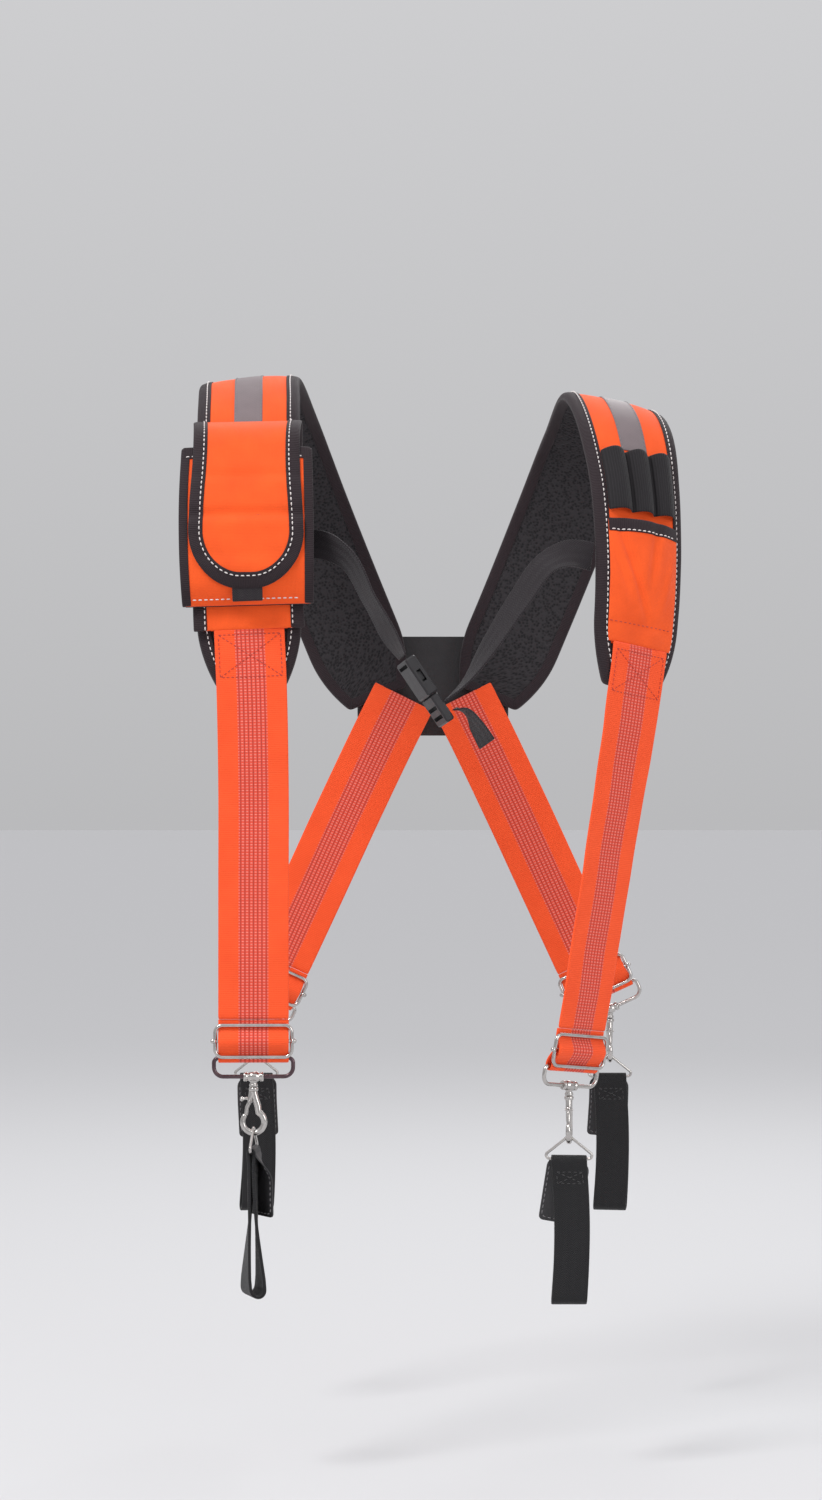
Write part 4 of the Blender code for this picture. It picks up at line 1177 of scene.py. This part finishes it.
def tube(points, radii, closed=False):
    """A round wire through the points, as a mesh; radii is one radius or one for each point."""
    curve = bpy.data.curves.new("wire", "CURVE")
    curve.dimensions = "3D"
    curve.bevel_depth = 1.0
    curve.bevel_resolution = WIRE_FINENESS
    curve.use_fill_caps = True
    spline = curve.splines.new("POLY")
    spline.points.add(len(points) - 1)
    radii = [radii] * len(points) if isinstance(radii, float) else radii
    for point, place, radius in zip(spline.points, points, radii):
        point.co = (*place, 1)
        point.radius = radius
    spline.use_cyclic_u = closed
    obj = link(bpy.data.objects.new("wire", curve))
    graph = bpy.context.evaluated_depsgraph_get()
    graph.update()
    mesh = bpy.data.meshes.new_from_object(obj.evaluated_get(graph))
    bpy.data.objects.remove(obj)
    return mesh


def rounded_wire(points, radius):
    """A wire with ball ends, its radii easing to nothing over one radius at each end."""
    points = [Vector(point) for point in points]
    start, stop = (points[0] - points[1]).normalized(), (points[-1] - points[-2]).normalized()
    before, after = [], []
    for turn in np.radians((90, 65, 40, 20)):
        reach, size = radius * math.sin(turn), max(1e-5, radius * math.cos(turn))
        before.append((points[0] + start * reach, size))
        after.append((points[-1] + stop * reach, size))
    line = before + [(point, radius) for point in points] + after[::-1]
    return tube([point for point, _ in line], [size for _, size in line])


def lathe(profile, matrix=Matrix.Identity(4)):
    """A turned solid about Z from (radius, z) points in mm, closed at both ends, then placed."""
    points, faces, sides = [], [], LATHE_SIDES
    for radius, z in profile:
        for k in range(sides):
            angle = 2 * math.pi * k / sides
            points.append((radius * MM * math.cos(angle), radius * MM * math.sin(angle), z * MM))
    for row in range(len(profile) - 1):
        faces += ring_faces(row * sides, (row + 1) * sides, sides)
    faces += [tuple(range(sides)), tuple(range(len(points) - sides, len(points)))]
    mesh = bpy.data.meshes.new("turned")
    mesh.from_pydata(points, [], faces)
    flip_outward(mesh)
    mesh.transform(matrix)
    return mesh


def hardware(corner, name, body, node, meshes, matrix, material=STEEL):
    """One steel piece of a hanger from several meshes, placed by the matrix."""
    points, faces = [], []
    for mesh in meshes:
        first = len(points)
        points += [matrix @ vertex.co for vertex in mesh.vertices]
        faces += [tuple(first + i for i in polygon.vertices) for polygon in mesh.polygons]
        bpy.data.meshes.remove(mesh)
    made = bpy.data.meshes.new(f"{corner}_{name}")
    made.from_pydata([tuple(point) for point in points], [], faces)
    made.materials.append(material)
    piece = link(bpy.data.objects.new(f"{corner}_{name}", made))
    finished(piece, f"{corner}_{body}", "plated_steel", f"{corner}_{node}")


def arc(centre, radius, start, stop, steps):
    """Points round a circle, from one angle to another in degrees."""
    return [
        (centre[0] + radius * math.cos(a), centre[1] + radius * math.sin(a))
        for a in np.radians(np.linspace(start, stop, steps + 1))
    ]


def rounded_rectangle(width, height, top_radius, low_radius=None):
    """A closed outline about the origin, its upper and lower corners with their own radii."""
    points = []
    for side, up, angle in ((1, 1, 0), (-1, 1, 90), (-1, -1, 180), (1, -1, 270)):
        radius = top_radius if up > 0 or low_radius is None else low_radius
        centre = (side * (width / 2 - radius), up * (height / 2 - radius))
        points += arc(centre, radius, angle, angle + 90, 8)
    return points


def upright(points, y=0.0, lift=0.0):
    """Stands flat (x, z) points up at this depth and height."""
    return [(x, y, z + lift) for x, z in points]


def axes_at(origin, x, z):
    """The frame at a point with these X and Z directions, which are square to each other."""
    x, z = Vector(x).normalized(), Vector(z).normalized()
    turn = Matrix((x, z.cross(x), z)).transposed()
    return Matrix.Translation(Vector(origin)) @ turn.to_4x4()


# --- hangers ---------------------------------------------------------------------------------


def hanger_frames(corner):
    """The strap's frame at the wire loop's top bar, and two at its lower bar: the eye's, turned
    as the strap is, and the plumb one of what hangs below."""
    swing, swivel = JOINTS[f"{corner}_loop_swing"], JOINTS[f"{corner}_hook_swivel"]
    up = JOINTS[f"{corner}_strap_length"]["axis"]
    return {
        "strap": axes_at(swing["pos_m"], swing["axis"], up),
        "plumb": axes_at(swivel["pos_m"], JOINTS[f"{corner}_trigger_press"]["axis"], (0, 0, 1)),
        "eye": axes_at(swivel["pos_m"], Vector(swing["axis"]), up),
    }


# Turned profiles in mm, as (radius, height)
RIVET = ((0.01, 3.4), (0.9, 3.2), (1.6, 2.4), (1.8, 1.4), (1.8, -0.6))
BARREL = ((1.75, 7), (2.9, 7), (3.3, 6.5), (3.3, 4.6), (2.7, 4.2), (2.7, 3.6), (3.4, 3.1), (3.5, 0))
NECK = ((2.4, -2.4), (2.6, -3.6), (2.1, -4.3), (2.9, -5.2), (3.1, -6.2), (2.8, -6.9), (1.8, -7))
COLLAR = (
    (0.6, -5.8), (1.2, -6.2), (1.3, -7.2), (2.9, -7.35), (3.3, -8), (3.3, -9.4), (2.7, -10.2), (0.5, -11),
)
BUTTON = ((0.05, 1.3), (1.1, 1.1), (1.7, 0.4), (1.7, -0.4), (1.1, -1.1), (0.05, -1.3))
SHANK = ((0, -9.4), (0.5, -12), (1.6, -16), (3, -20))  # mm, the hook's middle line: back, up
HOOK_TAPER = (0, 0.1, 0.35, 0.85, 1), (2.5, 2.35, 2.1, 1.9, 1.7)  # share of its length, radius in mm


def make_adjuster(corner, at):
    """A bent wire frame with a bar riveted through its sides."""
    outline = rounded_rectangle(*ADJUSTER_SIZE, 5 * MM)
    wire = tube(upright(outline, -ADJUSTER_BACK, ADJUSTER_RISE), ADJUSTER_WIRE, closed=True)
    ends = [(side * ADJUSTER_SIZE[0] / 2, -ADJUSTER_BACK, ADJUSTER_RISE) for side in (-1, 1)]
    meshes = [wire, tube(ends, BAR_RADIUS)]
    for side, end in zip((-1, 1), ends):
        turn = Matrix.Translation(end) @ Matrix.Rotation(side * math.pi / 2, 4, "Y")
        meshes.append(lathe(RIVET, turn))
    hardware(corner, "adjuster_frame", "adjuster", "adjuster", meshes, at["strap"])


def fold_line():
    """The webbing through the adjuster, round the loop's bar and back to the adjuster's bar, as
    (outward, up) points in mm. The bulge is how far it stands out over the adjuster's bar."""
    half, centre = ADJUSTER_SIZE[1] / 2 / MM, ADJUSTER_RISE / MM
    ply, bulge = PLY / MM, 4.9
    points = [(ply, STRAP_END_RISE / MM), (ply, STRAP_END_RISE / MM - 3)]
    for turn in np.linspace(150, -150, 9):
        out = ply + bulge * (1 + math.cos(math.radians(turn))) / 2
        points.append((out, centre + half * turn / 180))
    points += [(-y, z) for y, z in arc((0, 0), ply, 190, 350, 8)]
    points += [(-ply, 2.5), (-0.6, 7), (1.9, centre - 1), (2.2, centre + 4)]
    return points


def make_fold(corner, at):
    """The strap's end as one band along the fold's line, square to it all the way."""
    points = np.array(fold_line(), float) * MM
    knots = np.r_[0, np.cumsum(np.linalg.norm(np.diff(points, axis=0), axis=1))]
    alongs = np.linspace(0, knots[-1], 70)
    line = hermite(knots, points, alongs)
    tangents = unit(np.gradient(line, alongs, axis=0))
    sections, xs = [], [STRAP_WIDTH / 2 * f for f in fractions(12)]
    for (out, up), (run_out, run_up) in zip(line, tangents):
        normal = Vector((0, run_up, run_out)) * (STRAP_THICK / 2)
        outer = [at["strap"] @ (Vector((x, -out, up)) + normal) for x in xs]
        inner = [at["strap"] @ (Vector((x, -out, up)) - normal) for x in reversed(xs)]
        sections.append(outer + inner)
    us = np.array(xs + xs[::-1])[None, :]
    fold = lofted(f"{corner}_elastic_fold", sections, us, alongs[:, None], [STRAP])
    start, stop = (at["strap"] @ Vector((0, 0, z * MM)) for z in (4, -1))
    rides = (f"{corner}_adjuster", f"{corner}_fold", start, stop)
    finished(fold, rides, "hi_vis_elastic", f"{corner}_webbing_fold", levels=1)


def make_loop(corner, at):
    """The wire loop, and the barrel and neck of the swivel on its lower bar."""
    outline = rounded_rectangle(*LOOP_SIZE, 3.5 * MM, 6.5 * MM)
    wire = tube(upright(outline, 0, -LOOP_SIZE[1] / 2), LOOP_WIRE, closed=True)
    # painted reflection: the right front loop takes the darker copy of the steel, for the dark reflection
    # it shows
    steel = STEEL_PAINTED_DARK_REFLECTION if corner == "right_front" else STEEL
    hardware(corner, "rectangular_loop", "loop", "wire_loop", [wire], at["strap"], steel)
    barrel = [*BARREL, *((radius, -z) for radius, z in reversed(BARREL[:-1]))]
    along_bar = at["eye"] @ Matrix.Rotation(math.pi / 2, 4, "Y")
    meshes = [lathe(barrel, along_bar), lathe(NECK, at["plumb"])]
    hardware(corner, "swivel", "loop", "swivel_eye", meshes, Matrix.Identity(4))


def make_hook(corner, at):
    """A cast hook: collar, tapering shank, round bow with a blunt nose, and the trigger's lug."""
    low = -BOW_DROP
    line = [(y * MM, z * MM) for y, z in SHANK]
    line += arc((0, low), BOW_RADIUS, 62, -212, 34)
    share = np.linspace(0, 1, len(line))
    radii = [float(np.interp(s, *HOOK_TAPER)) * MM for s in share]
    nose = Vector(line[-1]) - Vector(line[-2])
    for turn in np.radians((30, 60, 85)):
        reach = nose.normalized() * NOSE_RADIUS * math.sin(turn)
        line.append(tuple(Vector(line[len(share) - 1]) + reach))
        radii.append(NOSE_RADIUS * math.cos(turn))
    bow = tube([(0, y, z) for y, z in line], radii)
    back, up = TRIGGER_PIVOT
    lug = rounded_wire([(0, -1.3 * MM, -10.4 * MM), (0, back - 0.1 * MM, up + 0.1 * MM)], 1.9 * MM)
    pin = rounded_wire([(-2.3 * MM, back, up), (2.3 * MM, back, up)], 0.8 * MM)
    hardware(corner, "cast_hook", "hook", "snap_hook", [lathe(COLLAR), bow, lug, pin], at["plumb"])

    nose_angle = math.radians(133)
    tip = (BOW_RADIUS * math.cos(nose_angle), low + BOW_RADIUS * math.sin(nose_angle))
    bend = ((back + tip[0]) / 2 - 0.9 * MM, (up + tip[1]) / 2)
    gate = rounded_wire([(0, back, up), (0, *bend), (0, *tip)], 1.35 * MM)
    lever = [(0, back - y * MM, up + z * MM) for y, z in ((0, 0), (2.6, 1.6), (5.6, 1.2))]
    facing = Matrix.Rotation(math.pi / 2, 4, "X")
    button = lathe(BUTTON, Matrix.Translation((0, back - 6 * MM, up + 1.1 * MM)) @ facing)
    meshes = [gate, rounded_wire(lever, 0.95 * MM), button]
    hardware(corner, "trigger", "trigger", "hook_trigger", meshes, at["plumb"])


def make_ring(corner, at):
    """A triangle of wire: the hook's bow at the top, the belt loop's bar along the bottom."""
    radius, half, low = 2.5 * MM, RING_HALF, RING_BAR
    outline = arc((0, -BOW_DROP - BOW_RADIUS), 3.3 * MM, 150, 30, 10)
    outline += arc((half - radius, low + radius), radius, 30, -90, 8)
    outline += arc((-half + radius, low + radius), radius, 270, 150, 8)
    wire = tube(upright(outline), RING_WIRE, closed=True)
    hardware(corner, "triangle_ring", "belt_loop", "tab_ring", [wire], at["plumb"])


# Degrees at each corner: the belt loop's turn at its bottom, the leather tab's lean and its turn
TWIST = {"right_front": 26, "left_front": 6, "right_back": 14, "left_back": -10}
TAB_LEAN = {"right_front": 2, "left_front": 9, "right_back": -3, "left_back": 4}
TAB_TWIST = {"right_front": 44, "left_front": 0, "right_back": 6, "left_back": -8}
BELT_LOOP_SIDE = (  # mm: out from the middle and down, from the bar to the eye
    (2.3, 0), (2.3, -3), (1.5, -8), (1.4, -16), (1.7, -30), (2.3, -50), (3.8, -70), (5.1, -88),
)


def make_belt_loop(corner, at):
    """Webbing folded over the ring's bar, sewn together below it, parting to an open eye."""
    thick, length = BELT_LOOP_THICK, BELT_LOOP_LENGTH
    side = [(y * MM, z * MM) for y, z in BELT_LOOP_SIDE]
    bar_gap, eye = side[0][0], side[-1][0]
    loop = [(-y, z) for y, z in side] + arc((0, eye - length), eye, 180, 360, 10)
    loop += side[::-1] + arc((0, 0), bar_gap, 0, 180, 8)[1:-1]
    step = 2.4 * MM
    points = resampled(loop, step, True)
    tangents = unit(np.roll(points, -1, axis=0) - np.roll(points, 1, axis=0))
    run = np.arange(len(points)) * step
    xs = [BELT_LOOP_WIDTH / 2 * f for f in fractions(8, 0.08)]

    def spot(x, y, z):
        share = max(0.0, -z / length)
        turn = math.radians(TWIST[corner]) * share**1.6
        bend = 2.2 * MM * math.sin(share * math.pi)
        x, y = x * math.cos(turn) - y * math.sin(turn) + bend, x * math.sin(turn) + y * math.cos(turn)
        return at["plumb"] @ Vector((x, y, RING_BAR + z))

    sections = []
    for (y, z), (ty, tz) in zip(points, tangents):
        ny, nz = tz * thick / 2, -ty * thick / 2
        section = [spot(x, y + ny, z + nz) for x in xs]
        sections.append(section + [spot(x, y - ny, z - nz) for x in reversed(xs)])
    us = np.array(xs + xs[::-1])[None, :]
    piece = lofted(f"{corner}_webbing_loop", sections, us, run[:, None], [LOOP_WEBBING], ring=True)
    finished(piece, f"{corner}_belt_loop", "black_webbing", f"{corner}_belt_loop", levels=1)
    left_top, left_low, right_top, right_low = (-9, -9), (-9, -17), (9, -9), (9, -17)
    box = [left_top, right_top, right_low, left_low, left_top]
    lines = []
    for face in (-1, 1):
        y = face * (1.4 * MM + thick / 2)
        out = at["plumb"].to_3x3() @ Vector((0, face, 0))
        for corners in (box, [left_top, right_low], [right_top, left_low]):
            path = resampled([(x * MM, z * MM) for x, z in corners], 2 * MM)
            lines.append([(spot(x, y, z), out) for x, z in path])
    name = f"{corner}_webbing_loop_stitching"
    stitching(name, f"{corner}_belt_loop", "black_webbing", lines, BLACK_THREAD, radius=0.32 * MM)


def make_leather_tab(corner, at):
    """Leather hung on the ring's bar behind the webbing, with a stitched edge."""
    lean = Matrix.Rotation(math.radians(TAB_LEAN[corner]), 4, "Y")
    hung = at["plumb"] @ Matrix.Translation((0, 0, RING_BAR)) @ lean
    flat = Flat(hung, twist=math.radians(TAB_TWIST[corner]))
    length, radius = TAB_LENGTH, 3 * MM

    def half(along):
        from_low = length - along
        round_low = radius - math.sqrt(max(0.0, radius**2 - max(0.0, radius - from_low) ** 2))
        neck = 5 * MM * max(0.0, 1 - along / (7 * MM)) ** 2
        return TAB_WIDTH / 2 - round_low - neck

    def under(across, along):
        """Leaves the bar, passes behind the webbing and curls a little at its foot."""
        share = min(1.0, along / (10 * MM))
        curl = 1.2 * MM * max(0.0, along / length - 0.5) ** 2
        return -(2.6 + 3.6 * math.sin(share * math.pi / 2)) * MM - curl

    alongs = evenly(-1 * MM, length - radius, 2.5 * MM)
    alongs += [length - radius * (1 - math.sin(a)) for a in np.radians((20, 40, 60, 80, 90))]
    tab = cloth(
        f"{corner}_stitched_tab", (f"{corner}_belt_loop", "black_leather", f"{corner}_leather_tab"),
        flat, alongs, half, under, 1.3 * MM, [LEATHER], 10,
    )
    top, low = 8 * MM, length - 2.2 * MM
    w, cut = TAB_WIDTH / 2 - 2 * MM, 2 * MM
    run = [(-w, top), (-w, low - cut), (-w + cut, low), (w - cut, low), (w, low - cut), (w, top)]
    line = line_on(flat, resampled(run, 2 * MM), raised(under, 1.35 * MM))
    name = f"{corner}_tab_stitching"
    stitching(name, f"{corner}_belt_loop", "black_leather", [line], GREY_THREAD, radius=0.3 * MM)


# --- stage -----------------------------------------------------------------------------------


CAMERA_PLACE, CAMERA_LENS, SENSOR = (-0.0168, -2.6, -0.271), 85.7, 36  # lens and sensor in mm
LIGHTS = (  # name, place, width in m, power in W
    ("key", (-1.2, -1.3, 1.5), 0.8, 34), ("fill", (1.7, -1.6, 0.1), 1.2, 11.5),
    ("rim", (0.4, 1.9, 1.2), 1.2, 14),
)
LIT_POINT = Vector((0, 0, -0.33))
SKY = (("From Min", -0.3), ("From Max", 0.8), ("To Min", 0.36), ("To Max", 0.98))  # by height of view
FLOOR_HALF, FLOOR_DROP = 20.0, 0.12


def make_camera():
    """Frontal, at chest height, with a long lens."""
    data = bpy.data.cameras.new("camera")
    data.sensor_width, data.lens = SENSOR, CAMERA_LENS
    camera = link(bpy.data.objects.new("camera", data))
    camera.location = CAMERA_PLACE
    camera.rotation_euler = (math.pi / 2, 0, 0)
    bpy.context.scene.camera = camera


def make_stage():
    """Three soft lamps, a sky that brightens upward, and a plain pale floor below the part."""
    for name, place, size, energy in LIGHTS:
        data = bpy.data.lights.new(name, "AREA")
        data.shape, data.size, data.energy = "DISK", size, energy
        light = link(bpy.data.objects.new(name, data))
        light.location = place
        light.rotation_mode = "QUATERNION"
        light.rotation_quaternion = (LIT_POINT - Vector(place)).to_track_quat("-Z", "Y")
    world = bpy.data.worlds.new("studio")
    world.use_nodes = True
    nodes, links = world.node_tree.nodes, world.node_tree.links
    parts = nodes.new("ShaderNodeSeparateXYZ")
    links.new(nodes.new("ShaderNodeTexCoord").outputs["Generated"], parts.inputs[0])
    ramp = nodes.new("ShaderNodeMapRange")
    links.new(parts.outputs["Z"], ramp.inputs["Value"])
    for socket, value in SKY:
        ramp.inputs[socket].default_value = value
    links.new(ramp.outputs[0], nodes["Background"].inputs["Strength"])
    nodes["Background"].inputs["Color"].default_value = (0.95, 0.95, 0.97, 1)
    bpy.context.scene.world = world

    data = bpy.data.meshes.new("floor")
    level = cad_box[0].z - FLOOR_DROP
    corners = [(x * FLOOR_HALF, y * FLOOR_HALF, level) for x, y in ((-1, -1), (1, -1), (1, 1), (-1, 1))]
    data.from_pydata(corners, [], [(0, 1, 2, 3)])
    data.materials.append(Finish("floor", (0.6, 0.6, 0.61), 0.8).material)
    link(bpy.data.objects.new("floor", data))


# --- the whole -------------------------------------------------------------------------------

make_camera()
make_stage()
make_shoulder("right", right, RIGHT_PAD_END, RIGHT_FACE_END, RIGHT_TAPE_END)
make_shoulder("left", left, LEFT_PAD_END, LEFT_FACE_END, LEFT_TAPE_END)
make_pouch()
make_flap()
make_tool_holders()
make_back_patch()
make_chest_strap()
STRAPS = {
    "right_front": (right, RIGHT_FACE_END - 2 * MM, 9.6 * MM),
    "left_front": (left, LEFT_FACE_END - 2 * MM, 9.6 * MM),
    "right_back": (right_lower, right_lower.start, 4 * MM),
    "left_back": (left_lower, left_lower.start, 4 * MM),
}
for corner in CORNERS:
    make_strap(corner, *STRAPS[corner])
    at = hanger_frames(corner)
    make_adjuster(corner, at)
    make_fold(corner, at)
    make_loop(corner, at)
    make_hook(corner, at)
    make_ring(corner, at)
    make_belt_loop(corner, at)
    make_leather_tab(corner, at)
bpy.context.scene.view_settings.view_transform = "Standard"
